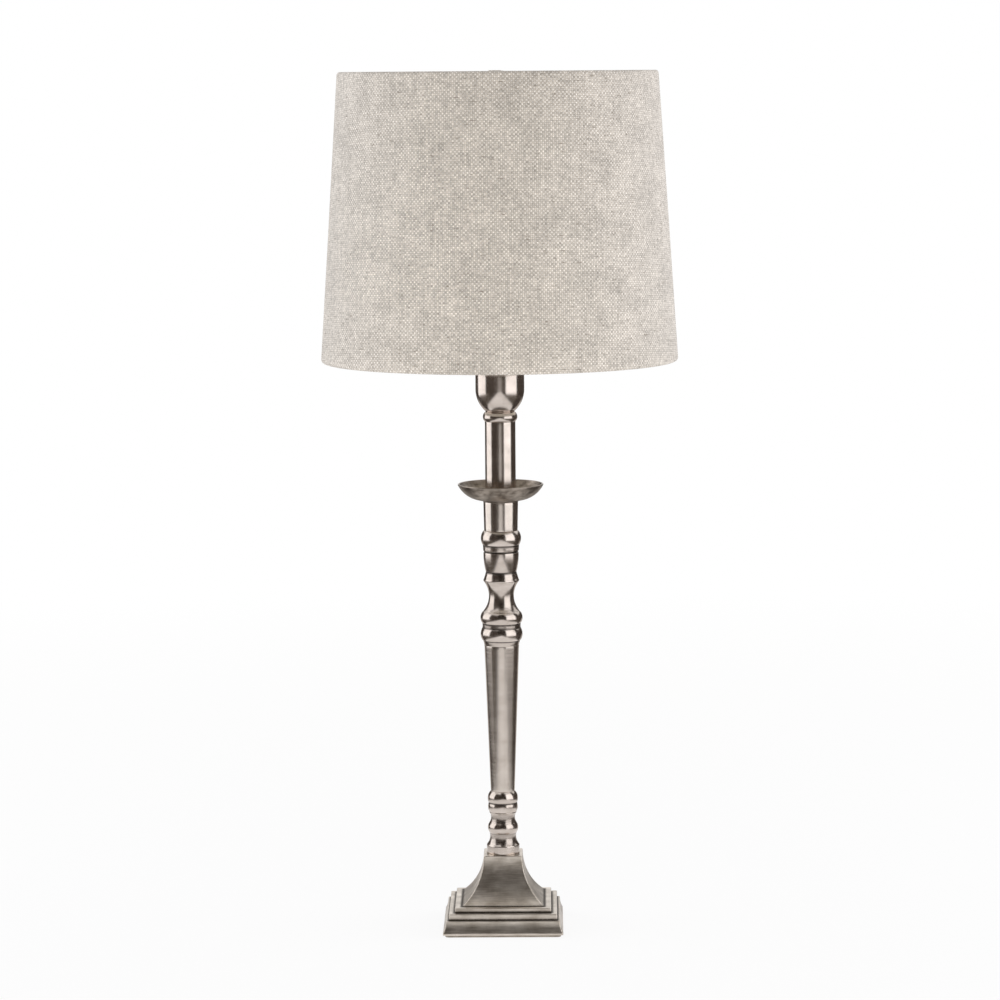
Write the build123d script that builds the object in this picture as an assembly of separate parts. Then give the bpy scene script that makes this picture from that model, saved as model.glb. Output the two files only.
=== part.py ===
"""Candlestick table lamp: a turned metal column on a stepped square foot, with a tapered linen shade.

Millimetres, +Z up. The origin is on the table, in the middle of the foot; the front is -Y and the cord inlet
is at the back, +Y. Every turned piece is drawn as its true half section and revolved, and sits on the next.
"""

import os
from math import acos, atan2, cos, hypot, radians, sin, sqrt, tan

from build123d import *

# Foot: a square casting, hollow underneath, on a felt pad
foot_w = 84.4
plinth_flare = 2.15
plinth_h = 9.8
plinth_edge_h = 1.6
low_ledge = 2.0
low_step_h = 4.5
high_ledge = 4.2
high_step_h = 3.3
sweep_ledge = 4.8
sweep_top_w = 27.3
sweep_h = 33.0
foot_wall = 5.5
foot_roof = 10.1
cone_foot_d = 48.0
nut_room_d = 21.0
nut_room_h = 8.0
felt_t = 1.5
felt_inset = 1.6
felt_corner_r = 3.0

# Lower knop: drum, cove, bead, neck and a thin lip
drum_d = 23.2
drum_h = 5.9
drum_cove_d = 18.75
drum_cove_top_d = 19.2
drum_cove_h = 8.6
knop_bead_d = 21.4
knop_bead_top_d = 19.0
knop_bead_h = 7.3
knop_neck_d = 16.9
knop_neck_top_d = 18.9
knop_neck_h = 7.2
knop_lip_d = 19.2
knop_lip_h = 0.7

# Ferrule: two beads that meet in a groove
ferrule_foot_d = 19.5
ferrule_bead_d = 21.0
ferrule_bead_h = 6.4
ferrule_groove_d = 20.0
ferrule_top_bead_d = 21.2
ferrule_top_bead_h = 8.5

# Shaft: a plain taper, thinner at its foot
shaft_foot_d = 16.9
shaft_top_d = 24.4
shaft_h = 104.3

# Collar knop: a flare and two beads with a flat between them
collar_flare_d = 25.2
collar_flare_top_d = 26.4
collar_flare_h = 3.7
collar_bead_foot_d = 27.2
collar_bead_d = 29.6
collar_bead_h = 8.8
collar_flat_d = 26.9
collar_flat_h = 3.0
collar_top_bead_d = 29.75
collar_top_bead_h = 8.8
collar_top_d = 25.6

# Waist: one hollow curve
waist_d = 17.6
waist_top_d = 24.6
waist_h = 20.9

# Vase knop: ring, cove, swelling vase, groove, band and bead
ring_d = 25.4
ring_top_d = 23.6
ring_h = 3.0
vase_neck_d = 21.6
vase_neck_top_d = 21.8
vase_neck_h = 3.7
vase_belly_d = 24.2
vase_top_d = 24.9
vase_h = 14.0
groove_d = 24.1
groove_h = 1.2
band_foot_d = 25.2
band_top_d = 25.5
band_h = 4.2
vase_bead_foot_d = 25.9
vase_bead_d = 28.4
vase_bead_top_d = 24.6
vase_bead_h = 10.0

# Socket under the pan
socket_foot_d = 23.7
socket_top_d = 24.5
socket_h = 20.5

# Drip pan: a shallow dish with a rounded rim
pan_d = 60.3
pan_foot_d = 25.2
pan_foot_h = 1.0
pan_h = 12.6
pan_wall = 1.4

# Candle tube, its bush and the neck ring
candle_d = 21.55
candle_wall = 1.0
candle_l = 54.2
bush_h = 6.0
neck_foot_d = 21.7
neck_bead_d = 24.3
neck_top_d = 20.3
neck_h = 7.1
neck_spigot_h = 5.0

# Cup round the lampholder
cup_d = 34.4
cup_bowl_h = 15.5
cup_lip_h = 12.0
cup_floor_t = 4.0
cup_floor_d = 21.0
cup_wall = 1.8

# Threaded tube that clamps the stack, with its nuts and washers (M10 x 1)
rod_d = 10.0
rod_bore_d = 7.0
rod_below_nut = 4.0
rod_in_holder = 9.0
nut_af = 14.0
nut_h = 4.0
nut_bevel = 0.6
washer_d = 18.0
washer_t = 1.2

# Registers between stacked pieces, and the clearances
spigot_d = 13.4
spigot_h = 1.5
spigot_clear = 0.1
spigot_room = 0.3
bore_clear = 0.25
tube_clear = 0.1
seat_gap = 0.3

# Cord bush in the back wall of the plinth
cord_bore_d = 6.0
cord_bush_neck_d = 7.4
cord_bush_flange_d = 9.0
cord_bush_flange_t = 1.4
cord_bush_bevel = 0.5
cord_bush_lip_d = 8.2
cord_bush_lip_t = 1.0
cord_seat_depth = 2.3

# Lampholder for a small (E14) screw cap
holder_d = 28.0
holder_base_h = 13.3
holder_corner_r = 2.0
holder_floor_t = 3.2
holder_boss_d = 15.0
holder_boss_h = 10.0
holder_register_h = 4.0
holder_register_wall = 0.9
skirt_wall = 1.3
skirt_h = 41.0
skirt_lip_t = 1.6
skirt_mouth_d = 18.6
shoulder_d = 34.0
shoulder_t = 3.0
shoulder_h = 17.0
block_h = 10.0
block_slot_w = 5.0
block_slot_depth = 1.4
shell_bore_d = 14.4
shell_wall = 0.5
shell_h = 21.5
shell_flange_d = 23.0
shell_flange_t = 0.6
terminal_pitch = 18.8
terminal_d = 2.5
terminal_head_d = 4.0
terminal_head_h = 1.8
terminal_slot_w = 0.8
terminal_slot_h = 0.6
contact_w = 4.0
contact_t = 0.5
contact_tip_l = 1.5
contact_play = 0.2

# Shade carrier and its ring nut
reducer_d = 50.0
reducer_flange_t = 1.6
fitter_d = 54.0
fitter_bore_d = 41.0
fitter_t = 1.2
ring_nut_d = 45.0
ring_nut_flange_t = 2.0
ring_nut_grip_d = 36.0
ring_nut_grip_h = 5.0
flute_count = 12
flute_d = 3.2
flute_out = 0.6
arm_d = 3.0
arm_count = 3
first_arm = 90.0

# Shade: linen on a stiff liner, its hems rolled round two wire rings
shade_bottom_d = 250.0
shade_top_d = 223.5
shade_h = 202.0
shade_drop = 8.6
linen_t = 0.5
liner_t = 0.4
wire_d = 3.0
hem_clear = 0.25
hem_depth = 8.5
hem_to_liner = 0.3

# Bulb: a golf-ball filament lamp on an E14 cap
cap_d = 13.9
cap_h = 20.0
cap_foot_d = 10.9
cap_foot_h = 1.5
cap_skirt_d = 16.8
cap_skirt_h = 5.0
cap_flare_h = 2.0
cap_t = 0.4
bulb_stand = 3.0
contact_pip_flat_d = 2.9
contact_pip_d = 4.8
contact_pip_h = 1.2
insulator_h = 3.0
globe_d = 45.0
bulb_l = 78.0
neck_d = 15.2
neck_rise = 2.0
glass_t = 0.8
stem_l = 16.0
stem_d = 4.4
stem_foot_t = 1.0
stem_cone_d = 7.4
stem_cone_h = 5.0
filament_count = 4
first_filament = 45.0
filament_rise = 2.0
filament_d = 1.5
filament_l = 22.0
filament_foot_r = 7.0
filament_top_r = 3.2
lead_d = 0.8

# Widths up the foot, each from the one below it
plinth_top_w = foot_w - 2 * plinth_flare
low_step_w = plinth_top_w - 2 * low_ledge
high_step_w = low_step_w - 2 * high_ledge
sweep_foot_w = high_step_w - 2 * sweep_ledge

# Places up the lamp, each from the piece below it
foot_z = felt_t
foot_h = plinth_h + low_step_h + high_step_h + sweep_h
knop_z = foot_z + foot_h
ferrule_z = knop_z + drum_h + drum_cove_h + knop_bead_h + knop_neck_h + knop_lip_h
shaft_z = ferrule_z + ferrule_bead_h + ferrule_top_bead_h
collar_z = shaft_z + shaft_h
waist_z = collar_z + collar_flare_h + collar_bead_h + collar_flat_h + collar_top_bead_h
vase_z = waist_z + waist_h
socket_z = vase_z + ring_h + vase_neck_h + vase_h + groove_h + band_h + vase_bead_h
pan_z = socket_z + socket_h
pan_floor_z = pan_z + pan_foot_h + pan_wall
neck_z = pan_floor_z + candle_l
cup_z = neck_z + neck_h
cup_floor_z = cup_z + cup_floor_t
holder_z = cup_floor_z + washer_t + nut_h
skirt_z = holder_z + holder_base_h
block_z = skirt_z + holder_register_h
shell_z = block_z + block_h
shoulder_z = skirt_z + shoulder_h + shoulder_t
fitter_z = shoulder_z + reducer_flange_t
ring_nut_z = fitter_z + fitter_t
shade_z = fitter_z - shade_drop
foot_seat_z = knop_z - foot_roof
foot_nut_z = foot_seat_z - washer_t - nut_h
rod_z = foot_nut_z - rod_below_nut
bulb_z = shell_z + bulb_stand

bore_d = rod_d + 2 * bore_clear
register_d = spigot_d + 2 * spigot_clear
register_h = spigot_h + spigot_room
candle_bore_d = candle_d - 2 * candle_wall


class Section:
    """Half section of a turned piece: a closed loop of lines and arcs in the XZ plane, revolved about Z."""

    def __init__(self, diameter, z):
        self.edges = []
        self.start = self.here = Vector(diameter / 2, 0, z)

    def line(self, diameter, z):
        there = Vector(diameter / 2, 0, z)
        if (there - self.here).length > 1e-9:
            self.edges.append(Edge.make_line(self.here, there))
            self.here = there
        return self

    def rise(self, top_d, height):
        """A straight side up to the next diameter."""
        return self.line(top_d, self.here.Z + height)

    def moulding(self, middle_d, top_d, height):
        """A bead or a cove: the arc through middle_d at mid height, ending at top_d."""
        middle = Vector(middle_d / 2, 0, self.here.Z + height / 2)
        top = Vector(top_d / 2, 0, self.here.Z + height)
        self.edges.append(Edge.make_three_point_arc(self.here, middle, top))
        self.here = top
        return self

    def arc_through(self, middle_d, middle_z, diameter, z):
        there = Vector(diameter / 2, 0, z)
        self.edges.append(Edge.make_three_point_arc(self.here, Vector(middle_d / 2, 0, middle_z), there))
        self.here = there
        return self

    def tangent_arc(self, diameter, z, outwards, upwards):
        """The arc that leaves in the direction given and ends at the diameter and height given."""
        there = Vector(diameter / 2, 0, z)
        self.edges.append(Edge.make_tangent_arc(self.here, Vector(outwards, 0, upwards), there))
        self.here = there
        return self

    def face(self):
        self.line(2 * self.start.X, self.start.Z)
        return Face(Wire(self.edges))

    def turned(self):
        return revolve(self.face(), Axis.Z)


def tangent_point(centre, radius, outside, side):
    """Where a line from a point outside touches a circle, anticlockwise of the point for side 1, else -1."""
    across, up = outside[0] - centre[0], outside[1] - centre[1]
    angle = atan2(up, across) + side * acos(radius / hypot(across, up))
    return centre[0] + radius * cos(angle), centre[1] + radius * sin(angle)


def foot_of_turning(first_d, spigot_diameter=spigot_d, spigot_height=spigot_h, bore=bore_d):
    """The underside of a stacked piece: bore, centring spigot and seat."""
    section = Section(bore, -spigot_height)
    return section.line(spigot_diameter, -spigot_height).line(spigot_diameter, 0).line(first_d, 0)


def registered(section):
    """Closes a stacked piece with the recess for the next spigot and its bore."""
    top = section.here.Z
    section.line(register_d, top).line(register_d, top - register_h).line(bore_d, top - register_h)
    return section.turned()


def square_prism(section_face, width):
    """A moulding run round a square: the same profile extruded both ways, mitred where the two meet."""
    along_y = extrude(section_face, width, dir=(0, 1, 0), both=True)
    return along_y & Rot(0, 0, 90) * along_y


def foot_profile():
    """The foot's full outline, seen from the front: plinth, two steps and the sweep up to the column."""
    low_top = plinth_h + low_step_h
    high_top = low_top + high_step_h
    edge = Vector(foot_w / 2, 0, plinth_edge_h)
    steps = [
        (plinth_top_w / 2, plinth_h),
        (low_step_w / 2, plinth_h),
        (low_step_w / 2, low_top),
        (high_step_w / 2, low_top),
        (high_step_w / 2, high_top),
        (sweep_foot_w / 2, high_top),
    ]
    right = [Edge.make_line((foot_w / 2, 0, 0), edge)]
    right += [Edge.make_tangent_arc(Vector(plinth_top_w / 2, 0, plinth_h), Vector(0, 0, -1), edge)]
    right += [Edge.make_line((a, 0, b), (c, 0, d)) for (a, b), (c, d) in zip(steps, steps[1:])]
    sweep_foot, sweep_top = Vector(sweep_foot_w / 2, 0, high_top), Vector(sweep_top_w / 2, 0, foot_h)
    right += [Edge.make_tangent_arc(sweep_top, Vector(0, 0, -1), sweep_foot)]
    left = [edge.mirror(Plane.YZ) for edge in right]
    floor = Edge.make_line((-foot_w / 2, 0, 0), (foot_w / 2, 0, 0))
    top = Edge.make_line((-sweep_top_w / 2, 0, foot_h), (sweep_top_w / 2, 0, foot_h))
    return Face(Wire(right + left + [floor, top]))


def cord_hole_place():
    """Axis of the cord hole, looking out of the back of the plinth."""
    return Pos(0, foot_w / 2, foot_z + plinth_h / 2) * Rot(-90, 0, 0)


def foot():
    body = square_prism(foot_profile(), foot_w)
    pocket_w = plinth_top_w - 2 * foot_wall
    pocket = extrude(RectangleRounded(pocket_w, pocket_w, foot_wall), plinth_h)
    seat = foot_h - foot_roof
    room = Section(0, 0).line(cone_foot_d, 0).line(cone_foot_d, plinth_h)
    room.line(nut_room_d, seat - nut_room_h).line(nut_room_d, seat).line(0, seat)
    bore = Cylinder(bore_d / 2, 3 * foot_roof).locate(Pos(0, 0, foot_h))
    register = Cylinder(register_d / 2, 2 * register_h).locate(Pos(0, 0, foot_h))
    body = Pos(0, 0, foot_z) * (body - pocket - room.turned() - bore - register)
    cord_hole = Cylinder(cord_bush_neck_d / 2 + spigot_clear, 2 * foot_w / 3)
    spot_face = Cylinder(cord_bush_flange_d / 2 + spigot_clear, 2 * cord_seat_depth)
    return body - cord_hole_place() * spot_face - cord_hole_place() * cord_hole


def base_felt():
    side = foot_w - 2 * felt_inset
    return extrude(RectangleRounded(side, side, felt_corner_r), felt_t)


def cord_bush():
    """Snap-in plastic bush: flange outside, neck through the wall, lip behind it."""
    inner_wall_y = plinth_top_w / 2 - foot_wall
    neck_l = foot_w / 2 - cord_seat_depth - inner_wall_y
    face_d = cord_bush_flange_d - 2 * cord_bush_bevel
    section = Section(cord_bore_d, cord_bush_flange_t).line(face_d, cord_bush_flange_t)
    section.line(cord_bush_flange_d, cord_bush_flange_t - cord_bush_bevel)
    section.line(cord_bush_flange_d, 0).line(cord_bush_neck_d, 0).line(cord_bush_neck_d, -neck_l)
    section.line(cord_bush_lip_d, -neck_l).line(cord_bush_neck_d, -neck_l - cord_bush_lip_t)
    section.line(cord_bore_d, -neck_l - cord_bush_lip_t)
    return cord_hole_place() * Pos(0, 0, -cord_seat_depth) * section.turned()


def lower_knop():
    section = foot_of_turning(drum_d).rise(drum_d, drum_h)
    section.moulding(drum_cove_d, drum_cove_top_d, drum_cove_h)
    section.moulding(knop_bead_d, knop_bead_top_d, knop_bead_h)
    section.moulding(knop_neck_d, knop_neck_top_d, knop_neck_h)
    section.line(knop_lip_d, section.here.Z).rise(knop_lip_d, knop_lip_h)
    return Pos(0, 0, knop_z) * registered(section)


def ferrule():
    section = foot_of_turning(ferrule_foot_d)
    section.moulding(ferrule_bead_d, ferrule_groove_d, ferrule_bead_h)
    section.moulding(ferrule_top_bead_d, shaft_foot_d, ferrule_top_bead_h)
    return Pos(0, 0, ferrule_z) * registered(section)


def shaft():
    section = foot_of_turning(shaft_foot_d).rise(shaft_top_d, shaft_h)
    return Pos(0, 0, shaft_z) * registered(section)


def collar_knop():
    section = foot_of_turning(shaft_top_d)
    section.moulding(collar_flare_d, collar_flare_top_d, collar_flare_h)
    section.line(collar_bead_foot_d, section.here.Z)
    section.moulding(collar_bead_d, collar_flat_d, collar_bead_h)
    section.rise(collar_flat_d, collar_flat_h)
    section.moulding(collar_top_bead_d, collar_top_d, collar_top_bead_h)
    return Pos(0, 0, collar_z) * registered(section)


def waist():
    section = foot_of_turning(collar_top_d).moulding(waist_d, waist_top_d, waist_h)
    return Pos(0, 0, waist_z) * registered(section)


def vase_knop():
    section = foot_of_turning(waist_top_d)
    section.moulding(ring_d, ring_top_d, ring_h)
    section.moulding(vase_neck_d, vase_neck_top_d, vase_neck_h)
    section.moulding(vase_belly_d, vase_top_d, vase_h)
    section.line(groove_d, section.here.Z).rise(groove_d, groove_h)
    section.line(band_foot_d, section.here.Z).rise(band_top_d, band_h)
    section.line(vase_bead_foot_d, section.here.Z)
    section.moulding(vase_bead_d, vase_bead_top_d, vase_bead_h)
    return Pos(0, 0, vase_z) * registered(section)


def socket_tube():
    section = foot_of_turning(socket_foot_d).rise(socket_top_d, socket_h)
    return Pos(0, 0, socket_z) * registered(section)


def drip_pan():
    floor = pan_foot_h + pan_wall
    rim_z = pan_h - pan_wall / 2
    section = foot_of_turning(pan_foot_d).rise(pan_foot_d, pan_foot_h)
    section.tangent_arc(pan_d, rim_z, 1, 0)
    section.arc_through(pan_d - pan_wall, pan_h, pan_d - 2 * pan_wall, rim_z)
    inner = Edge.make_tangent_arc(
        Vector(pan_foot_d / 2, 0, floor), Vector(1, 0, 0), section.here
    )
    section.edges.append(inner)
    section.here = Vector(pan_foot_d / 2, 0, floor)
    section.line(bore_d, floor)
    return Pos(0, 0, pan_z) * section.turned()


def candle_bush():
    outer_d = candle_bore_d - 2 * tube_clear
    section = Section(bore_d, 0).line(outer_d, 0).line(outer_d, bush_h).line(bore_d, bush_h)
    return Pos(0, 0, pan_floor_z) * section.turned()


def candle_tube():
    section = Section(candle_bore_d, 0).line(candle_d, 0)
    section.line(candle_d, candle_l).line(candle_bore_d, candle_l)
    return Pos(0, 0, pan_floor_z) * section.turned()


def neck_ring():
    section = foot_of_turning(neck_foot_d, candle_bore_d - 2 * tube_clear, neck_spigot_h)
    section.moulding(neck_bead_d, neck_top_d, neck_h)
    return Pos(0, 0, neck_z) * registered(section)


def holder_cup():
    """A round-bottomed cup with an upright lip and a flat floor inside for the nut."""
    inner_d = cup_d - 2 * cup_wall
    lip_z = cup_bowl_h + cup_lip_h
    widest, seat = Vector(cup_d / 2, 0, cup_bowl_h), Vector(neck_top_d / 2, 0, 0)
    bowl = Edge.make_tangent_arc(widest, Vector(0, 0, -1), seat)
    hollow = Edge.make_tangent_arc(
        Vector(inner_d / 2, 0, cup_bowl_h), Vector(0, 0, -1), Vector(cup_floor_d / 2, 0, cup_floor_t)
    )
    section = foot_of_turning(neck_top_d)
    section.edges.append(bowl)
    section.here = widest
    section.line(cup_d, lip_z - cup_wall / 2)
    section.arc_through(cup_d - cup_wall, lip_z, inner_d, lip_z - cup_wall / 2)
    section.line(inner_d, cup_bowl_h)
    section.edges.append(hollow)
    section.here = Vector(cup_floor_d / 2, 0, cup_floor_t)
    section.line(bore_d, cup_floor_t)
    return Pos(0, 0, cup_z) * section.turned()


def centre_rod():
    top = holder_z + rod_in_holder
    section = Section(rod_bore_d, rod_z).line(rod_d, rod_z).line(rod_d, top).line(rod_bore_d, top)
    return section.turned()


def rod_nuts():
    """The hexagon nuts that clamp the stack, one in the foot and one in the cup."""
    flats = extrude(RegularPolygon(nut_af / 2, 6, major_radius=False), nut_h)
    corner_d = nut_af / cos(radians(30)) + 2 * spigot_clear
    corners = Section(0, 0).line(nut_af, 0).line(corner_d, nut_bevel)
    corners.line(corner_d, nut_h - nut_bevel).line(nut_af, nut_h).line(0, nut_h)
    nut = (flats & corners.turned()) - Cylinder(rod_d / 2, 3 * nut_h)
    return Compound([Pos(0, 0, z) * nut for z in (foot_nut_z, cup_floor_z + washer_t)])


def rod_washers():
    section = Section(bore_d, 0).line(washer_d, 0).line(washer_d, washer_t).line(bore_d, washer_t)
    washer = section.turned()
    return Compound([Pos(0, 0, z) * washer for z in (foot_nut_z + nut_h, cup_floor_z)])


def holder_base():
    """Lower shell of the lampholder: it screws on the rod and holds the contact block on its register."""
    register = holder_d - 2 * skirt_wall - 2 * tube_clear
    hollow = register - 2 * holder_register_wall
    top = holder_base_h + holder_register_h
    corner = holder_d - 2 * holder_corner_r
    bend = holder_corner_r * (1 - cos(radians(45)))
    section = Section(rod_d, 0).line(corner, 0)
    section.arc_through(holder_d - 2 * bend, bend, holder_d, holder_corner_r)
    section.line(holder_d, holder_base_h).line(register, holder_base_h).line(register, top)
    section.line(hollow, top).line(hollow, holder_floor_t).line(holder_boss_d, holder_floor_t)
    section.line(holder_boss_d, holder_boss_h).line(rod_d, holder_boss_h)
    return Pos(0, 0, holder_z) * section.turned()


def holder_skirt():
    """Upper shell of the lampholder: a shoulder carries the shade, and a tube takes its ring nut."""
    inner = holder_d - 2 * skirt_wall
    section = Section(inner, 0).line(holder_d, 0).line(holder_d, shoulder_h)
    section.line(shoulder_d, shoulder_h).line(shoulder_d, shoulder_h + shoulder_t)
    section.line(holder_d, shoulder_h + shoulder_t).line(holder_d, skirt_h).line(skirt_mouth_d, skirt_h)
    section.line(skirt_mouth_d, skirt_h - skirt_lip_t).line(inner, skirt_h - skirt_lip_t)
    return Pos(0, 0, skirt_z) * section.turned()


def terminal_places():
    return [Pos(0, side * terminal_pitch / 2, 0) for side in (-1, 1)]


def contact_block():
    width = holder_d - 2 * skirt_wall - 2 * tube_clear
    block = Pos(0, 0, block_h / 2) * Cylinder(width / 2, block_h)
    slot_l = width / 2 + contact_w
    slot = Pos(0, contact_w - slot_l / 2, block_h) * Box(block_slot_w, slot_l, 2 * block_slot_depth)
    block -= slot
    for place in terminal_places():
        block -= place * Cylinder(terminal_d / 2, 3 * block_h)
    return Pos(0, 0, block_z) * block


def terminal_screws():
    """One screw for each contact, with its head under the block where the wire is clamped."""
    lengths = (block_h - block_slot_depth + contact_t, block_h + shell_flange_t)
    screws = []
    for place, length in zip(terminal_places(), lengths):
        head = Pos(0, 0, -terminal_head_h / 2) * Cylinder(terminal_head_d / 2, terminal_head_h)
        slot = Pos(0, 0, -terminal_head_h) * Box(2 * terminal_head_d, terminal_slot_w, 2 * terminal_slot_h)
        shank = Pos(0, 0, length / 2) * Cylinder(terminal_d / 2, length)
        screws.append(Pos(0, 0, block_z) * place * (head - slot + shank))
    return Compound([solid for screw in screws for solid in screw.solids()])


def screw_shell():
    """Metal socket for the cap, with a foot flange cut away over the centre contact."""
    outer = shell_bore_d + 2 * shell_wall
    section = Section(shell_bore_d, 0).line(shell_flange_d, 0).line(shell_flange_d, shell_flange_t)
    section.line(outer, shell_flange_t).line(outer, shell_h).line(shell_bore_d, shell_h)
    shell = section.turned()
    over_contact = Box(2 * shell_flange_d, shell_flange_d, 3 * shell_flange_t)
    shell -= Pos(0, -(outer + shell_flange_d) / 2, 0) * over_contact
    shell -= Pos(0, terminal_pitch / 2, 0) * Cylinder(terminal_d / 2, 3 * shell_flange_t)
    return Pos(0, 0, shell_z) * shell


def centre_contact():
    """A bent spring strip: its foot lies in the slot under the shell, its tongue presses the bulb."""
    foot_level = shell_z - block_slot_depth
    tip_level = bulb_z - contact_play - contact_t
    foot_end = -(terminal_pitch + contact_w) / 2
    bend = contact_t * tan(atan2(tip_level - foot_level, contact_w) / 2)
    under = [(foot_end, foot_level), (-contact_w, foot_level), (0, tip_level), (contact_tip_l, tip_level)]
    over = [(contact_tip_l, tip_level), (-bend, tip_level)]
    over += [(-contact_w - bend, foot_level), (foot_end, foot_level)]
    outline = [(0, y, z) for y, z in under] + [(0, y, z + contact_t) for y, z in over]
    face = Face(Wire(Polyline(*outline, close=True).edges()))
    strip = extrude(face, contact_w / 2, dir=(1, 0, 0), both=True)
    return strip - Pos(0, -terminal_pitch / 2, foot_level) * Cylinder(terminal_d / 2, 4 * contact_t)


def reducer_ring():
    """Plastic ring that brings the carrier's bore down to the lampholder."""
    bore = holder_d + 2 * seat_gap
    spigot = fitter_bore_d - 2 * spigot_clear
    top = reducer_flange_t + fitter_t
    section = Section(bore, 0).line(reducer_d, 0).line(reducer_d, reducer_flange_t)
    section.line(spigot, reducer_flange_t).line(spigot, top).line(bore, top)
    return Pos(0, 0, shoulder_z) * section.turned()


def fitter_ring():
    section = Section(fitter_bore_d, 0).line(fitter_d, 0)
    section.line(fitter_d, fitter_t).line(fitter_bore_d, fitter_t)
    return Pos(0, 0, fitter_z) * section.turned()


def shade_ring_nut():
    """Ring nut on the lampholder: flange below, finger grips round the top."""
    bore = holder_d + 2 * seat_gap
    top = ring_nut_flange_t + ring_nut_grip_h
    section = Section(bore, 0).line(ring_nut_d, 0).line(ring_nut_d, ring_nut_flange_t)
    section.line(ring_nut_grip_d, ring_nut_flange_t).line(ring_nut_grip_d, top).line(bore, top)
    nut = section.turned()
    flute = Pos(ring_nut_grip_d / 2 + flute_out, 0, ring_nut_flange_t + ring_nut_grip_h / 2)
    flute *= Cylinder(flute_d / 2, ring_nut_grip_h)
    for turn in range(flute_count):
        nut -= Rot(0, 0, turn * 360 / flute_count) * flute
    return Pos(0, 0, ring_nut_z) * nut


def in_shade(inset, depth, rim):
    """A point in the shade's wall: its inset square to the linen's face, its depth along it from one rim."""
    lean = atan2((shade_bottom_d - shade_top_d) / 2, shade_h)
    inward = Vector(-cos(lean), 0, -sin(lean))
    if rim == "bottom":
        corner, along = Vector(shade_bottom_d / 2, 0, shade_z), Vector(-sin(lean), 0, cos(lean))
    else:
        corner, along = Vector(shade_top_d / 2, 0, shade_z + shade_h), Vector(sin(lean), 0, -cos(lean))
    return corner + inward * inset + along * depth


def hem_radius():
    """Outside radius of the roll that the linen makes round a wire."""
    return wire_d / 2 + hem_clear + linen_t


def wire_centre(rim):
    return in_shade(hem_radius(), hem_radius(), rim)


def shade_arms():
    """Angles of the arms: one points straight back."""
    return [first_arm + turn * 360 / arm_count for turn in range(arm_count)]


def arm_rod(clearance=0.0):
    """One straight arm, from the top of the carrier ring out to the lower wire."""
    inner = Vector(fitter_d / 2 - arm_d / 2, 0, fitter_z + fitter_t + arm_d / 2)
    outer = wire_centre("bottom")
    plane = Plane(origin=inner, z_dir=outer - inner)
    return extrude(plane * Circle(arm_d / 2 + clearance), (outer - inner).length)


def hem_edges(rim):
    """The linen's edge, from its outside round the wire to the liner, where it is glued, and back inside."""
    roll = hem_radius()
    glued = linen_t + liner_t
    leaves_outside = tangent_point((roll, roll), roll, (glued, hem_depth), -1)
    leaves_inside = tangent_point((roll, roll), roll - linen_t, (glued, hem_depth - linen_t), -1)
    outer = [in_shade(*place, rim) for place in ((0, roll), (roll, 0), leaves_outside)]
    inner = [in_shade(*place, rim) for place in (leaves_inside, (roll, linen_t), (linen_t, roll))]
    tail_end = in_shade(glued, hem_depth, rim)
    tail_start = in_shade(glued, hem_depth - linen_t, rim)
    return [
        Edge.make_three_point_arc(*outer),
        Edge.make_line(outer[-1], tail_end),
        Edge.make_line(tail_end, tail_start),
        Edge.make_line(tail_start, inner[0]),
        Edge.make_three_point_arc(*inner),
    ]


def shade_linen():
    """The cloth wall, with each edge rolled round its wire and glued back on the liner."""
    roll = hem_radius()
    sides = [
        Edge.make_line(in_shade(inset, roll, "bottom"), in_shade(inset, roll, "top"))
        for inset in (0, linen_t)
    ]
    profile = Face(Wire(hem_edges("bottom") + hem_edges("top") + sides))
    linen = revolve(profile, Axis.Z)
    for angle in shade_arms():
        linen -= Rot(0, 0, angle) * arm_rod(seat_gap)
    return linen


def shade_liner():
    """The stiff cone that the linen is laminated on, from just above one wire to just below the other."""
    edge = 2 * hem_radius() + hem_to_liner
    low = [in_shade(inset, edge, "bottom") for inset in (linen_t, linen_t + liner_t)]
    high = [in_shade(inset, edge, "top") for inset in (linen_t + liner_t, linen_t)]
    return revolve(Face(Wire(Polyline(*low, *high, close=True).edges())), Axis.Z)


def shade_wire(rim):
    centre = wire_centre(rim)
    return Pos(0, 0, centre.Z) * Torus(centre.X, wire_d / 2)


def shade_arm(angle):
    """An arm, welded flat on the carrier ring and butted on the lower wire."""
    carrier = Pos(0, 0, fitter_z + fitter_t / 2) * Cylinder(fitter_d / 2, fitter_t)
    return Rot(0, 0, angle) * arm_rod() - shade_wire("bottom") - carrier


def bulb_contact():
    section = Section(0, 0).line(contact_pip_flat_d, 0).tangent_arc(contact_pip_d, contact_pip_h, 1, 0)
    return Pos(0, 0, bulb_z) * section.line(0, contact_pip_h).turned()


def bulb_insulator():
    section = Section(0, contact_pip_h).line(contact_pip_d, contact_pip_h)
    section.line(cap_foot_d, contact_pip_h + insulator_h).line(0, contact_pip_h + insulator_h)
    return Pos(0, 0, bulb_z) * section.turned()


def bulb_cap():
    foot = contact_pip_h + insulator_h
    shoulder = foot + cap_foot_h
    top = foot + cap_h
    flare = top - cap_skirt_h
    inner_d, inner_skirt_d = cap_d - 2 * cap_t, cap_skirt_d - 2 * cap_t
    section = Section(cap_foot_d - 2 * cap_t, foot).line(cap_foot_d, foot).line(cap_d, shoulder)
    section.line(cap_d, flare).line(cap_skirt_d, flare + cap_flare_h).line(cap_skirt_d, top)
    section.line(inner_skirt_d, top).line(inner_skirt_d, flare + cap_flare_h)
    section.line(inner_d, flare).line(inner_d, shoulder)
    return Pos(0, 0, bulb_z) * section.turned()


def glass_foot():
    """Height over the bulb's contact where the glass neck stands, inside the cap's skirt."""
    return contact_pip_h + insulator_h + cap_h - cap_skirt_h + cap_flare_h


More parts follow.
